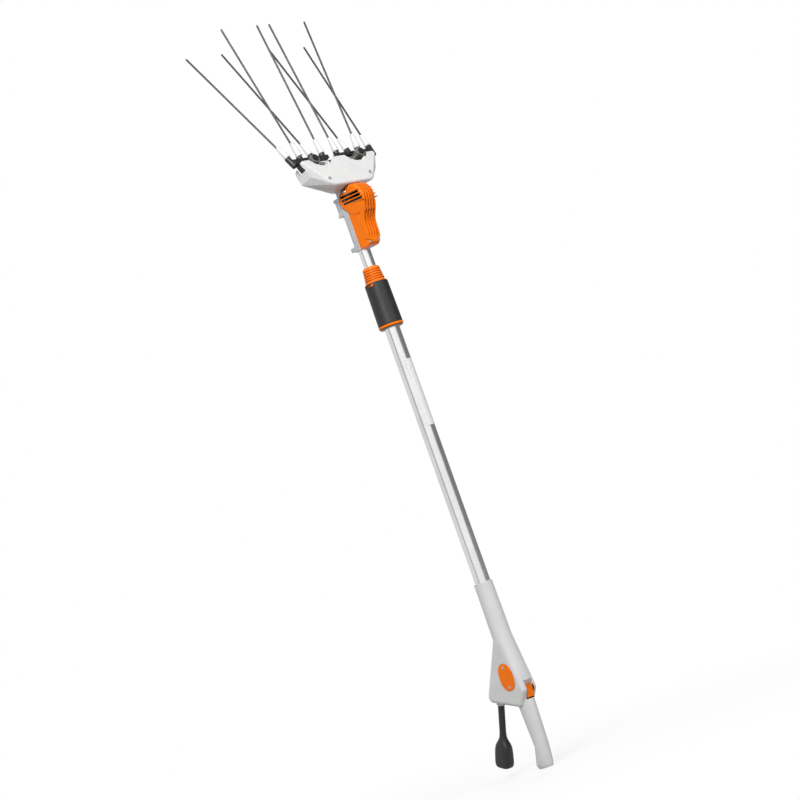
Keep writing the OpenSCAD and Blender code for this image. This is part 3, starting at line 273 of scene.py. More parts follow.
# %% The tool's finishes
handle_grey = finish("handle_grey", (216, 216, 215), (209, 209, 209), 0.42, 0.32)
orange_plastic = finish("orange_plastic", (255, 126, 2), (249, 117, 1), 0.42, 0.32, grain_size=0.0009, specular=0.2)
# Darker orange for the walls of the cover's and the clamp core's grooves: painted shade, as deep grooves have.
groove_painted_shade = finish("groove_painted_shade", (196, 68, 4), (172, 54, 4), 0.6, 0.5, grain_size=0.0009, specular=0.15)
white_plastic = finish("white_plastic", (225, 225, 224), (218, 218, 218), 0.38, 0.3)
boot_white = finish("boot_white", (231, 231, 229), (224, 224, 222), 0.45, 0.38, grain_size=0.002, grain_depth=0.00001)
black_plastic = finish("black_plastic", (40, 40, 41), (30, 30, 31), 0.38, 0.26, grain_depth=0.00003)
# Black plastic of the trigger pocket; the same finish on the handle's inner skin is painted shade.
pocket_black_and_inner_shade = finish("pocket_black_and_inner_shade", (30, 30, 31), (22, 22, 23), 0.5, 0.4, specular=0.3)
# Near-black finish for inner skins and end-slot walls that show through openings: painted shade.
inner_painted_shade = finish("inner_painted_shade", (24, 24, 25), (17, 17, 18), 0.6, 0.5, specular=0.2)
sleeve_black = finish("sleeve_black", (32, 32, 33), (26, 26, 27), 0.5, 0.42, grain_size=0.0007)
plug_black = finish("plug_black", (31, 31, 32), (24, 24, 25), 0.44, 0.32, grain_size=0.0008, grain_depth=0.00004)
black_rubber = finish("black_rubber", (32, 32, 33), (26, 26, 27), 0.55, 0.42, grain_size=0.0014)
tube_aluminium = finish("tube_aluminium", (241, 241, 241), (230, 230, 231), 0.2, 0.16, metal=1.0,
                        grain_depth=0.000004, streak=(0.0009, 0.004, 0.12, 0.1))
cast_aluminium = finish("cast_aluminium", (206, 208, 210), (188, 190, 193), 0.46, 0.36, metal=0.35,
                        grain_size=0.0013, grain_depth=0.00007)
hub_cast = finish("hub_cast", (158, 158, 156), (126, 126, 124), 0.36, 0.26, metal=0.5, grain_size=0.0012,
                  grain_depth=0.00006)
# Cast frame inside the head, drawn near black: painted shade, as it sits in the shadow inside the head.
head_frame_painted_shade = finish("head_frame_painted_shade", (58, 58, 59), (44, 44, 45), 0.5, 0.4, metal=0.3, grain_size=0.0012,
                    grain_depth=0.00006)
steel = finish("steel", (212, 213, 214), (188, 190, 193), 0.28, 0.2, metal=1.0, grain_depth=0.00001)
bell_steel = finish("bell_steel", (46, 47, 49), (34, 35, 37), 0.4, 0.3, metal=0.6, grain_depth=0.00002)
winding_copper = finish("winding_copper", (188, 108, 62), (150, 80, 42), 0.3, 0.22, metal=0.9, grain_size=0.0006)
bronze = finish("bronze", (198, 158, 88), (168, 128, 66), 0.36, 0.26, metal=0.95, grain_size=0.0008)
circuit_board = finish("circuit_board", (24, 92, 58), (16, 74, 46), 0.34, 0.26, grain_size=0.0016, coat=0.4)
tine_rod = finish("tine_rod", (74, 73, 73), (60, 60, 60), 0.36, 0.28, grain_size=0.0007, grain_depth=0.000004,
                  drift_size=0.05)
film_white = finish("film_white", (233, 233, 232), (228, 228, 228), 0.34, 0.26, grain_depth=0.00001)
print("finishes:", len(bpy.data.materials))

# %% [markdown]
# ## Plain pieces with softened edges
# A solid from the frame has knife-sharp edges, and real mouldings and castings never do. The solid's mesh is
# copied, its loose triangles are joined, and flat areas are cleaned. A Bevel then rounds the sharp edges. One
# width for the whole piece would fold over itself where edges lie close together, so each edge carries a weight
# that shrinks its own bevel to the room beside it.

# %% Helper: hand a piece over
made = []
JOIN_WITHIN = 2e-6


def hand_in(piece, body, slot, *stands_for):
    """Ties a finished piece to its body and hides the solids that it stands for. slot is not used."""
    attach(piece, body)
    if stands_for:
        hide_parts(*stands_for)
    made.append(piece.name)


def new_object(name, mesh):
    """An object in the scene, at the origin."""
    piece = bpy.data.objects.new(name, mesh)
    bpy.context.scene.collection.objects.link(piece)
    return piece


print("points join within", round(1e6 * JOIN_WITHIN, 1), "micrometres")

# %% Helper: a clean mesh with weighed edges
FLAT_WITHIN = math.radians(0.4)
ROOM_PER_WIDTH, LEAST_SHARE = 2.2, 0.3


def edge_angle(edge):
    """How far the two faces beside an edge turn."""
    return edge.calc_face_angle(0.0) if len(edge.link_faces) == 2 else 0.0


def edge_room(edge):
    """The shortest edge that meets this one, which is the room that its bevel has."""
    beside = [e.calc_length() for v in edge.verts for e in v.link_edges if e is not edge]
    return min(beside, default=0.0)


def soft_mesh(node, width, limit, inside, parting, cut_z):
    """The node's triangles joined and cleaned, with a bevel weight on each edge sharper than limit.
    inside tells which material a face takes, edges on the parting plane stay sharp, so a seam stays closed, and
    cut_z splits faces at a height, so that two finishes meet in a straight line."""
    work = bmesh.new()
    work.from_mesh(nodes[node].data)
    bmesh.ops.remove_doubles(work, verts=work.verts, dist=JOIN_WITHIN)
    if cut_z:
        bmesh.ops.bisect_plane(work, geom=work.verts[:] + work.edges[:] + work.faces[:], plane_co=(0, 0, cut_z),
                               plane_no=(0, 0, 1))
    for face in work.faces:
        face.smooth = True
        face.material_index = inside(face) if inside else 0
    bmesh.ops.dissolve_limit(work, angle_limit=FLAT_WITHIN, verts=work.verts, edges=work.edges,
                             delimit={"MATERIAL"})
    weight = work.edges.layers.float.new("bevel_weight_edge")
    for edge in work.edges:
        if edge_angle(edge) > limit:
            closed = parting and all(parting(v.co) for v in edge.verts)
            share = 0.0 if closed else min(1.0, edge_room(edge) / (ROOM_PER_WIDTH * width))
            if share > LEAST_SHARE:
                edge[weight] = share
            else:
                edge.smooth = False
    mesh = bpy.data.meshes.new(node + "_soft")
    work.to_mesh(mesh)
    work.free()
    return mesh


print("edges under", round(math.degrees(FLAT_WITHIN), 1), "degrees count as flat")

# %% Helper: a softened copy of a solid
NORMAL_WEIGHT = 80


def soften(node, body, slot, materials, edge_mm, steps=2, limit=32, inside=None, parting=None, cut_z=None):
    """Stands a softened copy in for a solid. materials is one finish, or a list that inside chooses from."""
    mesh = soft_mesh(node, edge_mm / 1000.0, math.radians(limit), inside, parting, cut_z)
    for material in materials if isinstance(materials, list) else [materials]:
        mesh.materials.append(material)
    piece = new_object(node + "_soft", mesh)
    bevel = piece.modifiers.new("edges", "BEVEL")
    bevel.limit_method, bevel.width, bevel.segments = "WEIGHT", edge_mm / 1000.0, steps
    bevel.use_clamp_overlap = False
    normals = piece.modifiers.new("normals", "WEIGHTED_NORMAL")
    normals.weight, normals.keep_sharp = NORMAL_WEIGHT, True
    hand_in(piece, body, slot, node)


print("large faces weigh", NORMAL_WEIGHT, "in the shading")

# %% [markdown]
# ## Which faces lie inside
# A shell is one solid with an outer and an inner skin. What shows of the inner skin through a slot lies in shade, so it
# gets a near-black finish, which is painted shade. The faces could be picked by hand, but the list would be lost when
# the solid changes. A face belongs to the inside when a ray along its normal meets the shell again, and a short ray
# means that it is the wall of a narrow groove, which on the orange parts takes a darker orange, painted shade too.

# %% Helper: inner faces by rays
RAY_LIFT = 0.0002


def skin_rays(*names):
    """A search tree over the triangles of several nodes."""
    points, faces = [], []
    for name in names:
        mesh = nodes[name].data
        start = len(points)
        points += [v.co.copy() for v in mesh.vertices]
        faces += [[start + i for i in p.vertices] for p in mesh.polygons]
    return BVHTree.FromPolygons(points, faces)


def gap_ahead(tree, face):
    """How far a ray goes from the face along its normal before it meets the skin again."""
    hit = tree.ray_cast(face.calc_center_median() + RAY_LIFT * face.normal, face.normal)
    return hit[3] if hit[0] is not None else math.inf


handle_skin = skin_rays("left_handle_shell", "right_handle_shell")
head_skin = skin_rays("front_head_shell", "rear_head_shell")
cover_skin = skin_rays("motor_cover", "spine")
core_skin = skin_rays("clamp_core")
print("skins to search: handle, head, motor cover and clamp core")

# %% Inner faces and seam of the handle
trigger_low, trigger_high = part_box("trigger")
POCKET_TOP, POCKET_FOOT, POCKET_HALF = trigger_high[2] - 0.002, trigger_low[2] - 0.003, trigger_high[0] + 0.0018
POCKET_BACK, POCKET_SLACK, RAMP_RISE = trigger_high[1] + 0.004, 0.0001, 0.2
SEAM_HALF, LIP_HALF, LIP_SPARE = 0.0003, 0.0004, 0.0007
HANDLE_ACROSS = 0.2  # a ray that meets the shell within this is inside it


def handle_inside(face):
    """1 for the handle's inner skin, whose dark finish is painted shade, and for the black pocket round the trigger."""
    spot = face.calc_center_median()
    near = abs(spot.x) < POCKET_HALF + POCKET_SLACK and spot.y < POCKET_BACK
    if near and POCKET_TOP < spot.z < POCKET_TOP + RAMP_RISE:
        return 0
    in_pocket = near and POCKET_FOOT - POCKET_SLACK < spot.z < POCKET_TOP
    return 1 if in_pocket or gap_ahead(handle_skin, face) < HANDLE_ACROSS else 0


def on_handle_seam(point):
    """The plane where the two shells meet, and the lip below the trigger, which is too finely cut to round."""
    on_lip = abs(point.z - POCKET_FOOT) < LIP_HALF and abs(point.x) < POCKET_HALF + LIP_SPARE
    return abs(point.x) < SEAM_HALF or on_lip


print("trigger pocket:", round(1000 * POCKET_FOOT, 1), "to", round(1000 * POCKET_TOP, 1), "mm")

# %% Inner faces of the head, the clamp core and the motor cover
HEAD_TILT, HEAD_Z = math.radians(18.0), 1.5
HEAD_ACROSS, HEAD_END_X, SLOT_X, SLOT_FRONT, SLOT_BACK = 0.3, 0.09, 0.095, -0.031, 0.001
WELL_WIDTH, CORE_GROOVE, COVER_GROOVE = 0.0125, 0.005, 0.004


def head_place(point):
    """A point in the head's own directions, which lean back from the pole's."""
    y, z = point.y, point.z - HEAD_Z
    return Vector((point.x, y * math.cos(HEAD_TILT) - z * math.sin(HEAD_TILT),
                   y * math.sin(HEAD_TILT) + z * math.cos(HEAD_TILT)))


def head_shade_faces(face):
    """1 for the head's inner skin and its end slots, which take a near-black finish as painted shade, but not for the
    screw wells, which are narrow.
    """
    gap = gap_ahead(head_skin, face)
    at_end = abs(face.calc_center_median().x) > HEAD_END_X
    return 1 if gap < HEAD_ACROSS and (gap > WELL_WIDTH or at_end) else 0


def on_head_slot(point):
    """Edges of the slots at the head's ends."""
    return abs(point.x) > SLOT_X and SLOT_FRONT < head_place(point).y < SLOT_BACK


def core_groove_shade_faces(face):
    """1 for the walls of the clamp core's grooves, which take a darker orange as painted shade."""
    return 1 if gap_ahead(core_skin, face) < CORE_GROOVE else 0


def cover_shade_faces(face):
    """1 for the walls of the grooves, which take a darker orange as painted shade, and 2 for the inner skin, which
    takes a near-black finish as painted shade.
    """
    gap = gap_ahead(cover_skin, face)
    return 0 if gap == math.inf else 1 if gap < COVER_GROOVE else 2


print("head leans", round(math.degrees(HEAD_TILT)), "degrees")

# %% [markdown]
# ## Handle, lead and clamp
# Two moulded shells make the handle, with an orange cover on the left side, the trigger in its pocket, and a rubber
# lead below. The length clamp is an orange ribbed core in a black sleeve that twists. Their solids already have the
# right shapes, so each gets soft edges and its finish, which is quicker and truer than modelling them again.

# %% Handle, lead and clamp pieces
for side in ("left", "right"):
    soften(side + "_handle_shell", "handle", "handle_grey", [handle_grey, pocket_black_and_inner_shade], 0.8, inside=handle_inside,
           parting=on_handle_seam, cut_z=POCKET_TOP)
for node, slot, material, edge in (
        ("oval_cover", "orange_plastic", orange_plastic, 0.9),
        ("lead_collar", "white_plastic", white_plastic, 0.8),
        ("lead", "black_rubber", black_rubber, 0.6),
        ("trigger_switch", "black_plastic", black_plastic, 0.5),
        ("lower_tube", "tube_aluminium", tube_aluminium, 0.3),
        ("clamp_insert", "black_plastic", black_plastic, 0.8),
        ("clamp_collet", "black_plastic", black_plastic, 0.4)):
    soften(node, "handle", slot, material, edge)
soften("clamp_core", "handle", "orange_plastic", [orange_plastic, groove_painted_shade], 0.4, inside=core_groove_shade_faces)
soften("trigger", "trigger", "orange_plastic", orange_plastic, 0.8, 3)
soften("clamp_sleeve", "twist_sleeve", "black_plastic", sleeve_black, 0.6)
print("handle and clamp:", len(made))

# %% [markdown]
# ## Motor housing, head and combs
# A cast spine holds the tube, the orange cover closes the motor in, and the white head carries two combs on rockers.
# These are softened copies too. The walls of the cover's grooves get a darker orange, painted shade as in deep grooves,
# and what shows through the louvres and slots, the head's frame among it, gets a near-black finish, painted shade too.

# %% Motor housing and head pieces
for node, slot, material, edge in (
        ("upper_tube", "tube_aluminium", tube_aluminium, 0.3),
        ("guide_bush", "black_plastic", black_plastic, 0.4),
        ("spine", "cast_aluminium", cast_aluminium, 0.8),
        ("head_seal", "black_rubber", black_rubber, 0.4),
        ("head_frame", "cast_aluminium", head_frame_painted_shade, 0.8),
        ("stem_bush", "bronze", bronze, 0.4)):
    soften(node, "upper", slot, material, edge)
soften("motor_cover", "upper", "orange_plastic", [orange_plastic, groove_painted_shade, inner_painted_shade], 0.6,
       inside=cover_shade_faces)
for node in ("front_head_shell", "rear_head_shell"):
    soften(node, "upper", "white_plastic", [white_plastic, inner_painted_shade], 0.7, inside=head_shade_faces,
           parting=on_head_slot)
for side in ("left", "right"):
    body = side + "_comb"
    soften(side + "_rocker", body, "cast_aluminium", hub_cast, 0.9)
    soften(side + "_hub_cap", body, "black_plastic", black_plastic, 0.9, 3)
    soften(side + "_tine_bar", body, "black_plastic", black_plastic, 0.9)
soften("drive_yoke", "yoke", "steel", steel, 0.5)
soften("motor_rotor", "rotor", "steel", bell_steel, 0.5)
soften("crank", "rotor", "steel", steel, 0.5)
print("housing, head and combs:", len(made))

# %% [markdown]
# ## Measuring the small solids
# Screws, boots and tines come from the frame as plain rods. Each rod is found as an island of joined triangles,
# and its axis, its seat and its radius are measured from its points, so a finer piece can take its exact place.

# %% Helper: islands of a node
def islands(node):
    """The node's separate solids, each as an array of points."""
    work = bmesh.new()
    work.from_mesh(nodes[node].data)
    bmesh.ops.remove_doubles(work, verts=work.verts, dist=JOIN_WITHIN)
    found, waiting = [], set(work.verts)
    while waiting:
        group, edge = [], [waiting.pop()]
        while edge:
            vert = edge.pop()
            group.append(vert.co[:])
            for link in vert.link_edges:
                other = link.other_vert(vert)
                if other in waiting:
                    waiting.discard(other)
                    edge.append(other)
        found.append(np.array(group))
    work.free()
    return found


def along(points, aim):
    """Where points lie along aim, how far they are from the solid's own axis, and a point of that axis."""
    aim = np.array(aim) / np.linalg.norm(aim)
    middle = (points.min(0) + points.max(0)) / 2.0
    step = (points - middle) @ aim
    away = np.linalg.norm(points - middle - np.outer(step, aim), axis=1)
    return step, away, middle, aim


print("boots on a comb:", len(islands("left_boots")))

# %% [markdown]
# ## A tree for what is turned
# Tines and boots are round about a line. One geometry tree serves both: it takes lines whose points carry a girth, and
# sweeps a circle of that girth along each line. A lathe profile spun in mesh code would do as well, but the tree keeps
# every turned piece as a few stations on a line.

# %% Tree: turned pieces
def geometry_tree(name, inputs):
    """A geometry tree with named inputs: (name, kind, default)."""
    tree = bpy.data.node_groups.new(name, "GeometryNodeTree")
    tree.interface.new_socket("Geometry", in_out="INPUT", socket_type="NodeSocketGeometry")
    for label, kind, default in inputs:
        socket = tree.interface.new_socket(label, in_out="INPUT", socket_type="NodeSocket" + kind)
        if default is not None:
            socket.default_value = default
    tree.interface.new_socket("Geometry", in_out="OUTPUT", socket_type="NodeSocketGeometry")
    return tree, tree.nodes.new("NodeGroupInput"), tree.nodes.new("NodeGroupOutput")


def close_tree(tree, geometry, t_in, t_out):
    """Every tree ends the same way: real geometry with one material."""
    real = add(tree, "GeometryNodeRealizeInstances", None, Geometry=geometry)
    dress = add(tree, "GeometryNodeSetMaterial", None, Geometry=real.outputs[0], Material=t_in.outputs["Material"])
    tree.links.new(dress.outputs[0], t_out.inputs[0])


turned, t_in, t_out = geometry_tree("turned pieces", [("Sides", "Int", 16), ("Material", "Material", None)])
girth = add(turned, "GeometryNodeInputNamedAttribute", {"data_type": "FLOAT"}, Name="girth")
paths = add(turned, "GeometryNodeMeshToCurve", None, Mesh=t_in.outputs["Geometry"])
ring = add(turned, "GeometryNodeCurvePrimitiveCircle", None, Resolution=t_in.outputs["Sides"], Radius=1.0)
swept = add(turned, "GeometryNodeCurveToMesh", None, Curve=paths.outputs[0], Profile_Curve=ring.outputs[0],
            Scale=girth.outputs[0], Fill_Caps=True)
close_tree(turned, swept.outputs[0], t_in, t_out)
print("turned tree:", len(turned.nodes), "nodes")

# %% [markdown]
# ## Growing and lofting
# A piece that a tree makes starts from a small seed mesh of points or lines, and is kept as a plain mesh. A piece that
# changes its outline on the way is skinned over a row of rings. Both end with joined points, faces that point outwards
# and smooth shading but for the sharp edges.

# %% Helper: loft over rings
def tidy_mesh(mesh, sharp):
    """Joins doubles, turns faces outwards, and shades smooth but for edges sharper than sharp degrees."""
    work = bmesh.new()
    work.from_mesh(mesh)
    bmesh.ops.remove_doubles(work, verts=work.verts, dist=JOIN_WITHIN)
    bmesh.ops.recalc_face_normals(work, faces=work.faces)
    for face in work.faces:
        face.smooth = True
    for edge in work.edges:
        edge.smooth = edge_angle(edge) < math.radians(sharp)
    work.to_mesh(mesh)
    work.free()


def loft_mesh(name, rings, sharp):
    """Skins a row of closed rings of points and caps both ends."""
    work = bmesh.new()
    loops = [[work.verts.new(point) for point in ring] for ring in rings]
    for low, high in zip(loops, loops[1:]):
        for i in range(len(low)):
            j = (i + 1) % len(low)
            work.faces.new((low[i], low[j], high[j], high[i]))
    work.faces.new(loops[0])
    work.faces.new(loops[-1])
    mesh = bpy.data.meshes.new(name)
    work.to_mesh(mesh)
    work.free()
    tidy_mesh(mesh, sharp)
    return mesh


def oval_ring(centre, side_a, side_b, square, count=48):
    """A ring between an ellipse (square 2) and a box with round corners (square 4 and more)."""
    spots = []
    for i in range(count):
        c, s = math.cos(2.0 * math.pi * i / count), math.sin(2.0 * math.pi * i / count)
        spots.append(centre + math.copysign(abs(c) ** (2.0 / square), c) * side_a
                     + math.copysign(abs(s) ** (2.0 / square), s) * side_b)
    return spots


print("loft helper ready")

# %% Helper: grow a piece from a tree
def grow(name, seed, tree, sharp=38, **values):
    """Runs the tree on a seed mesh and keeps the result as a plain mesh."""
    holder = new_object(name + "_seed", seed)
    modifier = holder.modifiers.new(name, "NODES")
    modifier.node_group = tree
    sockets = {s.name: s.identifier for s in tree.interface.items_tree if s.in_out == "INPUT"}
    for label, value in values.items():
        modifier[sockets[label.replace("_", " ")]] = value
    bpy.context.view_layer.update()
    graph = bpy.context.evaluated_depsgraph_get()
    mesh = bpy.data.meshes.new_from_object(holder.evaluated_get(graph), depsgraph=graph)
    holder.modifiers.remove(modifier)
    bpy.data.objects.remove(holder)
    mesh.name = name
    for extra in ("girth", "aim"):
        if extra in mesh.attributes:
            mesh.attributes.remove(mesh.attributes[extra])
    tidy_mesh(mesh, sharp)
    return new_object(name, mesh)


def lines_seed(name, lines):
    """Lines of (point, girth) as one mesh of edges."""
    points, edges, sizes = [], [], []
    for line in lines:
        edges += [(len(points) + i, len(points) + i + 1) for i in range(len(line) - 1)]
        points += [tuple(p) for p, _ in line]
        sizes += [size for _, size in line]
    mesh = bpy.data.meshes.new(name)
    mesh.from_pydata(points, edges, [])
    mesh.attributes.new("girth", "FLOAT", "POINT").data.foreach_set("value", sizes)
    return mesh


print("grow helper ready")

# %% [markdown]
# ## Tines and boots
# The tines are thin carbon rods, and their tips are rounded so that they don't bruise the fruit. Each stands in
# a white boot, a soft cone with a rolled foot and a small lip where the rod comes out. Both are stations for the turned
# tree, because cones with a bevel wouldn't give the rolled foot.

# %% Tines
TIP_RADII = 2.0  # the rounded tip's length, in radii
TIP_STATIONS = [(0.0, 1.0), (0.4, 0.92), (0.7, 0.71), (0.92, 0.4), (1.0, 0.0)]  # shares of its length and radius


def axis_ends(points):
    """The ends of a rod's axis, the lower one first, and its radius."""
    middle = points.mean(0)
    aim = np.linalg.svd(points - middle)[2][0]
    aim = aim if aim[2] > 0 else -aim
    step, away, centre, aim = along(points, aim)
    return centre + step.min() * aim, centre + step.max() * aim, away.max(), aim


def tine_line(points):
    """A rod's axis with a rounded tip."""
    root, tip, radius, aim = axis_ends(points)
    body = [(root + share * (tip - root), radius) for share in (0.0, 0.33, 0.66)]
    return body + [(tip - (1.0 - s) * TIP_RADII * radius * aim, r * radius) for s, r in TIP_STATIONS]


for side in ("left", "right"):
    rods = [tine_line(points) for points in islands(side + "_tines")]
    piece = grow(side + "_tine_rods", lines_seed(side + "_rods", rods), turned, sharp=50, Sides=14, Material=tine_rod)
    hand_in(piece, side + "_comb", "tine_rod", side + "_tines")
    print(piece.name, len(piece.data.polygons), "faces")

# %% Boots
BOOT_STATIONS = [  # share of the boot's length from its foot, and share of its foot's radius
    (0.0, 0.80), (0.012, 0.93), (0.035, 1.0), (0.10, 1.0), (0.125, 0.97), (0.14, 0.93), (0.165, 0.93), (0.18, 0.955)]
LIP_STATIONS = [(0.93, 1.0), (0.945, 1.06), (0.98, 1.06), (0.995, 0.97)]  # the same, of its crown's radius
CONE_START, CONE_WIDTH, CONE_STEP, CONE_STEPS, CONE_CURVE = 0.18, 0.955, 0.09, 8, 0.85
CROWN_WITHIN, BORE_SPARE = 1e-4, 1.02


def boot_line(points):
    """A boot's axis from its rolled foot over the cone to the lip round the rod."""
    foot, top, radius, aim = axis_ends(points)
    step, away, centre, aim = along(points, aim)
    top_ring = away[step > step.max() - CROWN_WITHIN]
    crown, bore = top_ring.max(), top_ring.min()
    if away[step < step.min() + CROWN_WITHIN].max() < crown:
        foot, top = top, foot
    stations = [(s, r * radius) for s, r in BOOT_STATIONS]
    for i in range(1, CONE_STEPS + 1):
        s = CONE_START + i * CONE_STEP
        slimmer = ((s - CONE_START) / (1.0 - CONE_START)) ** CONE_CURVE
        stations.append((s, CONE_WIDTH * radius + (crown - CONE_WIDTH * radius) * slimmer))
    stations += [(s, r * crown) for s, r in LIP_STATIONS] + [(1.0, BORE_SPARE * bore)]
    return [(foot + s * (top - foot), r) for s, r in stations]


for side in ("left", "right"):
    cones = [boot_line(points) for points in islands(side + "_boots")]
    piece = grow(side + "_tine_boots", lines_seed(side + "_cones", cones), turned, Sides=28, Material=boot_white)
    hand_in(piece, side + "_comb", "white_plastic", side + "_boots")
    print(piece.name, len(piece.data.polygons), "faces")

# %% [markdown]
# ## Front of the handle above the trigger
# The pocket's ramp fades out in a long shallow groove up the handle's front. On the real handle it ends in a short,
# clean step, and the round front goes on above it. At each height the shell is nearly an ellipse, so rays find its
# width and a few points beside the groove, a small fit gives the ellipse, and the infill follows it across.

# %% Helper: the handle's front as an ellipse
INFILL_LOW, INFILL_HIGH, INFILL_HALF = trigger_high[2] + 0.012, trigger_high[2] + 0.150, trigger_high[0] + 0.002
RAY_START, FLANK_X, HANDLE_BACK_Y, FLANK_BAND, FLANK_SPOTS = 0.3, 0.018, 0.02, 0.006, 7
FIT_SPOTS, FIT_SPARE, FIT_REACH = 8, 0.0004, 0.9


def front_y(x, z):
    """The handle's front face, seen from straight ahead."""
    return handle_skin.ray_cast(Vector((x, -RAY_START, z)), Vector((0, 1, 0)))[0].y


def side_x(y, z):
    """The handle's right face, seen from the side."""
    return handle_skin.ray_cast(Vector((RAY_START, y, z)), Vector((-1, 0, 0)))[0].x


def front_ellipse(z):
    """Half width, middle and half depth of the handle's front at a height."""
    middle = 0.5 * (front_y(FLANK_X, z) + HANDLE_BACK_Y)
    half = max(side_x(y, z) for y in np.linspace(middle - FLANK_BAND, middle + FLANK_BAND, FLANK_SPOTS))
    spots = np.linspace(INFILL_HALF + FIT_SPARE, FIT_REACH * half, FIT_SPOTS)
    fronts = np.array([front_y(x, z) for x in spots])
    curve = np.sqrt(1.0 - (spots / half) ** 2)
    (centre, depth), *_ = np.linalg.lstsq(np.column_stack([np.ones(FIT_SPOTS), -curve]), fronts, rcond=None)
    return half, centre, depth


for z in (INFILL_LOW, INFILL_HIGH):
    print("front at", round(1000 * z), "mm:", [round(1000 * v, 1) for v in front_ellipse(z)])

# %% Front infill
INFILL_SINK, INFILL_DEEP, INFILL_ROWS, INFILL_COLUMNS = 0.00012, 0.007, 24, 20
layers = []
for i in range(INFILL_ROWS + 1):
    z = INFILL_LOW + (INFILL_HIGH - INFILL_LOW) * i / INFILL_ROWS
    half, centre, depth = front_ellipse(z)
    line = np.linspace(-INFILL_HALF, INFILL_HALF, INFILL_COLUMNS + 1)
    face_y = centre - depth * np.sqrt(1.0 - (line / half) ** 2) + INFILL_SINK
    outer = [(x, y, z) for x, y in zip(line, face_y)]
    inner = [(x, y + INFILL_DEEP, z) for x, y in zip(line, face_y)]
    layers.append(outer + inner[::-1])
infill_mesh = loft_mesh("front_infill", layers, sharp=35)
infill_mesh.materials.append(handle_grey)
infill = new_object("front_infill", infill_mesh)
hand_in(infill, "handle", "handle_grey")
print("infill:", len(infill_mesh.polygons), "faces")

# %% [markdown]
# ## Plug on the lead
# The plug is moulded onto the lead: a round neck swells like a bell into a flat body with well-rounded corners. It
# is lofted from rings whose outline goes from a circle to a squarish oval, which a swept or bevelled block can't do.

# %% Plug
lead_top, lead_end, lead_radius, lead_aim = axis_ends(islands("lead")[0])
plug_points = islands("plug_body")[0]
if np.linalg.norm(plug_points.mean(0) - lead_top) < np.linalg.norm(plug_points.mean(0) - lead_end):
    lead_top, lead_end, lead_aim = lead_end, lead_top, -lead_aim
across = np.array([1.0, 0.0, 0.0])
flat = np.cross(lead_aim, across)
plug_reach = ((plug_points - lead_end) @ lead_aim).max()
plug_x = np.abs((plug_points - lead_end) @ across).max()
plug_y = np.abs((plug_points - lead_end) @ flat).max()
NECK_FULL, PLUG_FULL = 1.06, 1.07
PLUG_STATIONS = [  # share of the length, how far from neck to full size, squareness of the outline
    (-0.03, 0.0, 2.0), (0.02, 0.02, 2.0), (0.07, 0.06, 2.0), (0.13, 0.17, 2.1), (0.19, 0.36, 2.2), (0.25, 0.58, 2.4),
    (0.31, 0.76, 2.7), (0.37, 0.87, 3.0), (0.44, 0.93, 3.3), (0.56, 0.965, 3.6), (0.70, 0.99, 3.8), (0.82, 1.0, 3.8),
    (0.88, 0.985, 3.8), (0.925, 0.945, 3.7), (0.96, 0.87, 3.5), (0.985, 0.76, 3.3), (1.0, 0.6, 3.0)]
neck_r, rings = NECK_FULL * lead_radius, []
for share, full, square in PLUG_STATIONS:
    half_x, half_y = (neck_r + full * (PLUG_FULL * half - neck_r) for half in (plug_x, plug_y))
    rings.append(oval_ring(lead_end + share * plug_reach * lead_aim, half_x * across, half_y * flat, square))
plug_mesh = loft_mesh("plug_bell", rings, sharp=60)
plug_mesh.materials.append(plug_black)
plug = new_object("plug_bell", plug_mesh)
hand_in(plug, "handle", "black_plastic", "plug_body")
print("plug:", [round(2000 * v, 1) for v in (plug_x, plug_y)], "mm,", round(1000 * plug_reach, 1), "mm long")

# %% [markdown]
# ## Painted shade in the head's end slots
# A dark sheet fills the slot at the head's end, under the tine bar, and stands in for the shade inside the slot:
# painted shade. It hangs from the bar and swings with the comb, and the other end gets the same. A flat plate would do,
# but a loft in the head's own directions can lean its lower end inwards, so that it clears the shell on the way down.

# %% Slot shade sheets
SHADE_SHEET_STATIONS = [  # height in the head, distance from the middle, half thickness and half breadth, all in mm
    (36.5, 112.4, 4.2, 6.0), (33.0, 112.4, 4.3, 6.3), (30.0, 112.3, 4.3, 7.6), (26.0, 112.0, 4.2, 8.4),
    (18.0, 111.2, 3.9, 8.6), (10.0, 110.0, 3.4, 8.5), (6.5, 109.4, 3.0, 8.2), (5.3, 109.2, 2.4, 7.4)]
SHADE_SHEET_Y, SHADE_SHEET_SQUARE = -14.5, 5.0


def from_head(x, y, z):
    """A point given in the head's own millimetres, in the pole's metres."""
    return Vector((x / 1000, (y * math.cos(HEAD_TILT) + z * math.sin(HEAD_TILT)) / 1000,
                   HEAD_Z + (z * math.cos(HEAD_TILT) - y * math.sin(HEAD_TILT)) / 1000))


for side, sign in (("left", -1), ("right", 1)):
    rings = [oval_ring(from_head(sign * x, SHADE_SHEET_Y, z), Vector((thick / 1000, 0, 0)),
                       from_head(0, broad, 0) - from_head(0, 0, 0), SHADE_SHEET_SQUARE)
             for z, x, thick, broad in SHADE_SHEET_STATIONS]
    shade_sheet_mesh = loft_mesh(side + "_slot_shade_sheet", rings, sharp=60)
    # The black rubber finish here is painted shade for the inside of the slot.
    shade_sheet_mesh.materials.append(black_rubber)
    hand_in(new_object(side + "_slot_shade_sheet", shade_sheet_mesh), side + "_comb", "black_rubber")
print("slot shade sheets:", round(SHADE_SHEET_STATIONS[0][0] - SHADE_SHEET_STATIONS[-1][0], 1), "mm tall")

# %% [markdown]
# ## Ribs down the motor cover's front
# Five ribs run over the drum, sweep in under its chin and go on down the front to the screws. The channels between
# them shed leaves and cool the motor. A tree sweeps one rounded rib along the cover's own front line and repeats it
# across. The line is measured on the solid with rays, and a smooth curve bridges the hollow under the chin.

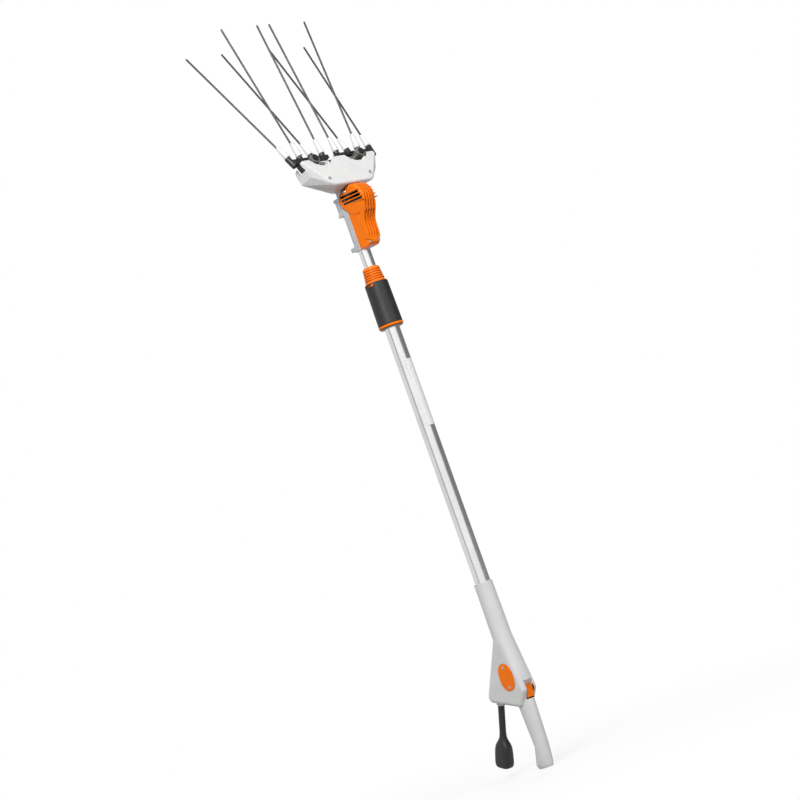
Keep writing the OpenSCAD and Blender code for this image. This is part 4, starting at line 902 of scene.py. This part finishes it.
# %% Tree: front ribs
ribs, b_in, b_out = geometry_tree("front ribs", [
    ("Rib Width", "Float", 0.006), ("Rib Depth", "Float", 0.014), ("Rib Round", "Float", 0.001),
    ("Rib Count", "Int", 5), ("Rib Pitch", "Float", 0.0084), ("Material", "Material", None)])
path_line = add(ribs, "GeometryNodeMeshToCurve", None, Mesh=b_in.outputs["Geometry"])
level_line = add(ribs, "GeometryNodeSetCurveNormal", {"mode": "Z_UP"}, Curve=path_line.outputs[0])
section = add(ribs, "GeometryNodeCurvePrimitiveQuadrilateral", None, Width=b_in.outputs["Rib Width"],
              Height=b_in.outputs["Rib Depth"])
round_section = add(ribs, "GeometryNodeFilletCurve", {"mode": "POLY"}, Curve=section.outputs[0], Count=3,
                    Radius=b_in.outputs["Rib Round"], Limit_Radius=True)
rib = add(ribs, "GeometryNodeCurveToMesh", None, Curve=level_line.outputs[0], Profile_Curve=round_section.outputs[0],
          Fill_Caps=True)
span_x = math_node(ribs, "MULTIPLY", b_in.outputs["Rib Pitch"],
                   math_node(ribs, "SUBTRACT", b_in.outputs["Rib Count"], 1.0))
first = add(ribs, "ShaderNodeCombineXYZ", None, X=math_node(ribs, "MULTIPLY", span_x, -0.5))
step_x = add(ribs, "ShaderNodeCombineXYZ", None, X=b_in.outputs["Rib Pitch"])
row = add(ribs, "GeometryNodeMeshLine", None, Count=b_in.outputs["Rib Count"], Start_Location=first.outputs[0],
          Offset=step_x.outputs[0])
rib_row = add(ribs, "GeometryNodeInstanceOnPoints", None, Points=row.outputs[0], Instance=rib.outputs[0])
close_tree(ribs, rib_row.outputs[0], b_in, b_out)
print("rib tree:", len(ribs.nodes), "nodes")

# %% Front ribs
def cover_front(z):
    """The cover's front face at a height, on the middle rib."""
    return cover_skin.ray_cast(Vector((0.0, -RAY_START, z)), Vector((0, 1, 0)))[0].y


RIB_DEPTH, RIB_PROUD, RIB_FOOT, RIB_WAIST, RIB_CHIN = 0.015, 0.0026, 1.3135, 1.3500, 1.3930
RIB_START, RIB_END = RIB_FOOT + 0.006, RIB_CHIN + 0.008
FOOT_SINK, CHIN_PROUD, END_SINK = 0.0006, 0.0004, 0.0012
LOW_STEPS, CHIN_STEPS, START_SHARE, EASE_SHARE = 4, 9, 0.6, 0.6
foot_y = cover_front(RIB_FOOT)
front_line = [(RIB_FOOT, foot_y + FOOT_SINK), (RIB_START, foot_y - START_SHARE * RIB_PROUD)]
for i in range(1, LOW_STEPS + 1):
    z = RIB_START + i * (RIB_WAIST - RIB_START) / LOW_STEPS
    front_line.append((z, cover_front(z) - RIB_PROUD))
waist_y, chin_y = front_line[-1][1], cover_front(RIB_CHIN) - CHIN_PROUD
for i in range(1, CHIN_STEPS + 1):
    t = i / CHIN_STEPS
    ease = EASE_SHARE * t * t * (3.0 - 2.0 * t) + (1.0 - EASE_SHARE) * t * t
    front_line.append((RIB_WAIST + t * (RIB_CHIN - RIB_WAIST), waist_y + ease * (chin_y - waist_y)))
front_line.append((RIB_END, cover_front(RIB_END) + END_SINK))
centre_line = []
for i, (z, y) in enumerate(front_line):
    before, after = front_line[max(i - 1, 0)], front_line[min(i + 1, len(front_line) - 1)]
    rise, run = after[0] - before[0], after[1] - before[1]
    size = math.hypot(rise, run)
    centre_line.append((0.0, y + 0.5 * RIB_DEPTH * rise / size, z - 0.5 * RIB_DEPTH * run / size))
rib_seed = bpy.data.meshes.new("rib_line")
rib_seed.from_pydata(centre_line, [(i, i + 1) for i in range(len(centre_line) - 1)], [])
piece = grow("cover_ribs", rib_seed, ribs, sharp=40, Rib_Width=0.0062, Rib_Depth=RIB_DEPTH, Rib_Round=0.0011,
             Rib_Count=5, Rib_Pitch=0.0084, Material=orange_plastic)
hand_in(piece, "upper", "orange_plastic")
rib_box = np.array([v.co[:] for v in piece.data.vertices])
print("ribs:", (1000 * rib_box.min(0)).round(1), (1000 * rib_box.max(0)).round(1))

# %% [markdown]
# ## Star-drive screws
# The housings are held with self-tapping screws that have a low round head and a six-point star drive. One tree
# builds the head from a star curve, a filled ring and two short cones, and places it on every seat. Cutting the
# star with a Boolean is the other way, but it leaves stray edges on so small a head.

# %% Tree: star screws, crown and star
screws, s_in, s_out = geometry_tree("star screws", [
    ("Head Radius", "Float", 0.004), ("Head Height", "Float", 0.003), ("Shank Radius", "Float", 0.002),
    ("Shank Length", "Float", 0.02), ("Material", "Material", None)])
head_r, head_h = s_in.outputs["Head Radius"], s_in.outputs["Head Height"]


def times(value, share):
    """A share of one of the screw's sizes."""
    return math_node(screws, "MULTIPLY", value, share)


def lift(geometry, height):
    """Geometry raised along the screw's axis."""
    raised = add(screws, "ShaderNodeCombineXYZ", None, Z=height)
    return add(screws, "GeometryNodeTransform", None, Geometry=geometry, Translation=raised.outputs[0]).outputs[0]


crown_r, side_h, star_h = times(head_r, 0.8), times(head_h, 0.6), times(head_h, 0.35)
star = add(screws, "GeometryNodeCurveStar", None, Points=6, Inner_Radius=times(head_r, 0.36),
           Outer_Radius=times(head_r, 0.52)).outputs[0]
rim = add(screws, "GeometryNodeCurvePrimitiveCircle", None, Resolution=24, Radius=crown_r).outputs[0]
both = screws.nodes.new("GeometryNodeJoinGeometry")
for curve in (star, rim):
    screws.links.new(curve, both.inputs[0])
crown = lift(add(screws, "GeometryNodeFillCurve", None, i0=both.outputs[0]).outputs[0], head_h)
star_edge = add(screws, "GeometryNodeCurveToMesh", None, Curve=star).outputs[0]
drop = add(screws, "ShaderNodeCombineXYZ", None, Z=times(head_h, -0.65)).outputs[0]
star_wall = add(screws, "GeometryNodeExtrudeMesh", {"mode": "EDGES"}, Mesh=star_edge, Offset=drop,
                Offset_Scale=1.0).outputs[0]
star_floor = lift(add(screws, "GeometryNodeFillCurve", None, i0=star).outputs[0], star_h)
print("star drive:", len(screws.nodes), "nodes")

# %% Tree: star screws, sides, shank and places
SHANK_DROP = -0.502  # half the shank's length and a hair more, so that its end isn't in the seat's plane
shoulder = add(screws, "GeometryNodeMeshCone", {"fill_type": "NONE"}, Vertices=24, Radius_Top=crown_r,
               Radius_Bottom=head_r, Depth=times(head_h, 0.4)).outputs[0]
skirt = add(screws, "GeometryNodeMeshCone", {"fill_type": "NONE"}, Vertices=24, Radius_Top=head_r,
            Radius_Bottom=head_r, Depth=side_h).outputs[0]
seat_ring = add(screws, "GeometryNodeCurvePrimitiveCircle", None, Resolution=24, Radius=head_r).outputs[0]
seat = add(screws, "GeometryNodeFillCurve", None, i0=seat_ring).outputs[0]
shank = add(screws, "GeometryNodeMeshCylinder", {"fill_type": "TRIANGLE_FAN"}, Vertices=12,
            Radius=s_in.outputs["Shank Radius"], Depth=s_in.outputs["Shank Length"]).outputs[0]
whole = screws.nodes.new("GeometryNodeJoinGeometry")
for shell in (crown, lift(star_wall, head_h), star_floor, lift(shoulder, side_h), skirt, seat,
              lift(shank, times(s_in.outputs["Shank Length"], SHANK_DROP))):
    screws.links.new(shell, whole.inputs[0])
aim = add(screws, "GeometryNodeInputNamedAttribute", {"data_type": "FLOAT_VECTOR"}, Name="aim")
turn_to = add(screws, "FunctionNodeAlignRotationToVector", {"axis": "Z"}, Vector=aim.outputs[0])
placed = add(screws, "GeometryNodeInstanceOnPoints", None, Points=s_in.outputs["Geometry"],
             Instance=whole.outputs[0], Rotation=turn_to.outputs[0])
close_tree(screws, placed.outputs[0], s_in, s_out)
print("screw tree:", len(screws.nodes), "nodes")

# %% Screws in their seats
HEAD_EDGE, BELOW_HEAD = 0.95, 1e-4


def seats_seed(name, seats, aim):
    """A mesh of points, one for each seat, that all carry the way their screws look."""
    mesh = bpy.data.meshes.new(name)
    mesh.from_pydata([tuple(s) for s in seats], [], [])
    mesh.attributes.new("aim", "FLOAT_VECTOR", "POINT").data.foreach_set("vector", list(aim) * len(seats))
    return mesh


def star_screws(node, body, aim):
    """Finds each screw's seat, head and shank in its solid, and puts a star screw there."""
    seats = []
    for points in islands(node):
        step, away, centre, way = along(points, aim)
        low = step[away > HEAD_EDGE * away.max()].min()
        seats.append(centre + low * way)
        sizes = (away.max(), step.max() - low, away[step < low - BELOW_HEAD].max(), low - step.min())
    piece = grow(node + "_star", seats_seed(node + "_seats", seats, way), screws, sharp=30, Head_Radius=sizes[0],
                 Head_Height=sizes[1], Shank_Radius=sizes[2], Shank_Length=sizes[3], Material=steel)
    hand_in(piece, body, "steel", node)
    print(piece.name, len(seats), "screws, head", [round(1000 * s, 1) for s in sizes])


star_screws("handle_screws", "handle", (1, 0, 0))
star_screws("oval_cover_screws", "handle", (-1, 0, 0))
star_screws("motor_cover_screws", "upper", (0, -1, 0))
star_screws("head_screws", "upper", (0, -math.cos(HEAD_TILT), math.sin(HEAD_TILT)))

# %% [markdown]
# ## Drum screw and tube film
# A short screw with a bright head sits on the drum's left side, and the tree above makes it. The lower tube carries a
# thin white film with rounded corners, wrapped part of the way round, and it stays plain. A strip of the tube with
# another finish would have no edge, so the film is a bent sheet with its own thickness.

# %% Drum screw
DRUM_SCREW_Y, DRUM_SCREW_Z = -0.0271, 1.4417
face_hit = skin_rays("motor_cover").ray_cast(Vector((-RAY_START, DRUM_SCREW_Y, DRUM_SCREW_Z)), Vector((1, 0, 0)))[0]
piece = grow("drum_screw", seats_seed("drum_seat", [face_hit], (-1.0, 0.0, 0.0)), screws, sharp=30,
             Head_Radius=0.0042, Head_Height=0.0022, Shank_Radius=0.002, Shank_Length=0.006, Material=steel)
hand_in(piece, "upper", "steel")
print("drum screw on", [round(1000 * v, 1) for v in face_hit])

# %% Tube film
FILM_LOW, FILM_HIGH, FILM_CORNER = 0.849, 1.017, 0.004
FILM_START, FILM_END = math.radians(-125.0), math.radians(-10.0)
FILM_LIFT, FILM_T, FILM_COLUMNS, FILM_ROWS, CORNER_STEPS = 0.00006, 0.00012, 40, 12, 5
low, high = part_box("lower_tube")
film_r = (high[0] - low[0]) / 2.0 + FILM_LIFT
half_turn, middle_turn = (FILM_END - FILM_START) / 2.0, (FILM_END + FILM_START) / 2.0
corner = [FILM_CORNER * (1 - math.cos(0.5 * math.pi * i / CORNER_STEPS)) for i in range(CORNER_STEPS + 1)]
rows = [FILM_LOW + c for c in corner]
rows += [FILM_LOW + (FILM_HIGH - FILM_LOW) * i / FILM_ROWS for i in range(1, FILM_ROWS)]
rows += [FILM_HIGH - c for c in reversed(corner)]
points, faces = [], []
for z in rows:
    inset = max(0.0, FILM_CORNER - min(z - FILM_LOW, FILM_HIGH - z))
    pull = (FILM_CORNER - math.sqrt(max(0.0, FILM_CORNER ** 2 - inset ** 2))) / film_r
    for i in range(FILM_COLUMNS + 1):
        turn_by = middle_turn + (half_turn - pull) * (2.0 * i / FILM_COLUMNS - 1.0)
        points.append((film_r * math.cos(turn_by), film_r * math.sin(turn_by), z))
for r in range(len(rows) - 1):
    for i in range(FILM_COLUMNS):
        p = r * (FILM_COLUMNS + 1) + i
        faces.append((p, p + 1, p + FILM_COLUMNS + 2, p + FILM_COLUMNS + 1))
film_mesh = bpy.data.meshes.new("tube_film")
film_mesh.from_pydata(points, [], faces)
film_mesh.shade_smooth()
film_mesh.materials.append(film_white)
film = new_object("tube_film", film_mesh)
wall = film.modifiers.new("thickness", "SOLIDIFY")
wall.thickness, wall.offset = FILM_T, 1.0
hand_in(film, "handle", "white_plastic")
print("film:", round(1000 * (FILM_HIGH - FILM_LOW)), "mm long,", round(2000 * half_turn * film_r), "mm round")

# %% [markdown]
# ## Inner pieces
# Few people see the motor, its boards, its bearings and the pins, but a cut-away or an open cover shows them. Their
# solids are right as they are, so they stay and only get their finishes.

# %% Finishes on the inner solids
STAYING = {
    "trigger_pin": steel, "control_board": circuit_board, "foot_bolt": steel, "motor_plate": cast_aluminium,
    "motor_stator": winding_copper, "shaft_bearings": steel, "motor_controller": circuit_board, "pivot_pins": steel,
}
for node, material in STAYING.items():
    mesh = nodes[node].data
    mesh.materials.clear()
    mesh.materials.append(material)
print("staying solids:", len(STAYING))

# %% [markdown]
# ## Studio
# The tool stands in a bright studio on white. A large lamp on the left and above gives the form, a weaker one lights
# the front, and a third behind lifts the far edges. The floor glows white to the eye, more so further out, and catches
# a soft shadow by the handle. To other light it is darker, so that it doesn't brighten the head from below, and in
# reflections it is a little dimmer than white, so that a bare tube stands out. A plain white floor would need more
# light, which would bleach the tool. The world is white to the eye. In reflections it has a dark side, which gives the
# tubes the bands that studio walls give them.

# %% Floor
FLOOR_RADIUS = 20.0
floor_mesh = bpy.data.meshes.new("floor")
work = bmesh.new()
bmesh.ops.create_circle(work, cap_ends=True, segments=64, radius=FLOOR_RADIUS)
work.to_mesh(floor_mesh)
work.free()
floor = new_object("floor", floor_mesh)
print("floor:", round(2 * FLOOR_RADIUS), "m across")

# %% Paper
PAPER_TO_LIGHT, PAPER_TO_EYE, PAPER_MIRRORED = 0.27, 0.82, 0.75
GLOW_NEAR, GLOW_FAR, GLOW_BY_HANDLE = 0.2, 1.8, 0.74
paper = bpy.data.materials.new("white_paper")
paper.use_nodes = True
tree = paper.node_tree
sheet = tree.nodes["Principled BSDF"]
sheet.inputs["Roughness"].default_value = 0.9
path = tree.nodes.new("ShaderNodeLightPath")
tone = add(tree, "ShaderNodeMapRange", None, Value=path.outputs["Is Camera Ray"], To_Min=PAPER_TO_LIGHT,
           To_Max=PAPER_TO_EYE)
tree.links.new(tone.outputs["Result"], sheet.inputs["Base Color"])
mirrored = math_node(tree, "MULTIPLY", path.outputs["Is Glossy Ray"], PAPER_MIRRORED)
seen = math_node(tree, "MAXIMUM", path.outputs["Is Camera Ray"],
                 math_node(tree, "MAXIMUM", mirrored, path.outputs["Is Transmission Ray"]))
glow = add(tree, "ShaderNodeEmission", None, Strength=1.0)
where = tree.nodes.new("ShaderNodeTexCoord").outputs["Object"]
reach = add(tree, "ShaderNodeVectorMath", {"operation": "LENGTH"}, i0=where)
fade = add(tree, "ShaderNodeMapRange", {"interpolation_type": "SMOOTHSTEP"}, Value=reach.outputs["Value"],
           From_Min=GLOW_NEAR, From_Max=GLOW_FAR, To_Min=GLOW_BY_HANDLE, To_Max=1.0)
mix = add(tree, "ShaderNodeMixShader", None, i0=math_node(tree, "MULTIPLY", seen, fade.outputs["Result"]),
          i1=sheet.outputs[0], i2=glow.outputs[0])
tree.links.new(mix.outputs[0], tree.nodes["Material Output"].inputs["Surface"])
floor_mesh.materials.append(paper)
print("paper glows from", GLOW_NEAR, "to", GLOW_FAR, "m")

# %% World
world = bpy.data.worlds.new("white_studio")
bpy.context.scene.world = world
world.use_nodes = True
tree = world.node_tree
tree.nodes.clear()
aim = tree.nodes.new("ShaderNodeTexCoord").outputs["Generated"]
parts = add(tree, "ShaderNodeSeparateXYZ", None, Vector=aim)
azimuth = math_node(tree, "ARCTAN2", parts.outputs["Y"], parts.outputs["X"])
flag = add(tree, "ShaderNodeValToRGB", None, Fac=math_node(
    tree, "ADD", math_node(tree, "MULTIPLY", azimuth, 0.5 / math.pi), 0.5))
ramp = flag.color_ramp
ramp.interpolation = "LINEAR"
STUDIO_RING = [  # bearing round the studio in degrees, and how bright the wall is there
    (-180, 0.34), (-176, 0.96), (-170, 1.0), (-90, 1.0), (-80, 0.3), (-70, 0.2), (0, 0.2), (16, 0.3), (26, 0.6),
    (60, 0.78), (164, 0.8), (170, 0.36), (176, 0.3)]
while len(ramp.elements) > 1:
    ramp.elements.remove(ramp.elements[0])
for i, (bearing, bright) in enumerate(STUDIO_RING):
    spot = ramp.elements[0] if i == 0 else ramp.elements.new((bearing + 180) / 360)
    spot.position = (bearing + 180) / 360
    spot.color = (bright, bright, bright, 1.0)
SOFT_LIGHT = 0.48
path = tree.nodes.new("ShaderNodeLightPath")
ring = add(tree, "ShaderNodeBackground", None, Color=flag.outputs["Color"], Strength=1.0)
plain = add(tree, "ShaderNodeBackground", None, Color=(1.0, 1.0, 1.0, 1.0), Strength=SOFT_LIGHT)
white = add(tree, "ShaderNodeBackground", None, Color=(1.0, 1.0, 1.0, 1.0), Strength=1.0)
shown = add(tree, "ShaderNodeMixShader", None, i0=math_node(
    tree, "MAXIMUM", path.outputs["Is Glossy Ray"], path.outputs["Is Transmission Ray"]),
    i1=plain.outputs[0], i2=ring.outputs[0])
whole = add(tree, "ShaderNodeMixShader", None, i0=path.outputs["Is Camera Ray"], i1=shown.outputs[0],
            i2=white.outputs[0])
output = tree.nodes.new("ShaderNodeOutputWorld")
tree.links.new(whole.outputs[0], output.inputs["Surface"])
print("studio wall:", len(STUDIO_RING), "bearings")

# %% Lamps
LAMP_TARGET = Vector((0.0, 0.0, 1.0))


def lamp(name, spot, watts, size):
    """A round soft lamp that looks at the middle of the pole."""
    data = bpy.data.lights.new(name, "AREA")
    data.energy, data.size, data.shape = watts, size, "DISK"
    light = bpy.data.objects.new(name, data)
    bpy.context.scene.collection.objects.link(light)
    light.location = spot
    light.rotation_euler = (LAMP_TARGET - Vector(spot)).to_track_quat("-Z", "Y").to_euler()


lamp("key_lamp", (-4.0, -3.0, 4.2), 245, 2.2)
lamp("front_lamp", (0.8, -4.6, 4.0), 84, 2.5)
lamp("back_lamp", (3.5, 3.0, 3.5), 70, 2.5)
bpy.context.scene.view_settings.view_transform = "Standard"
print("studio ready")
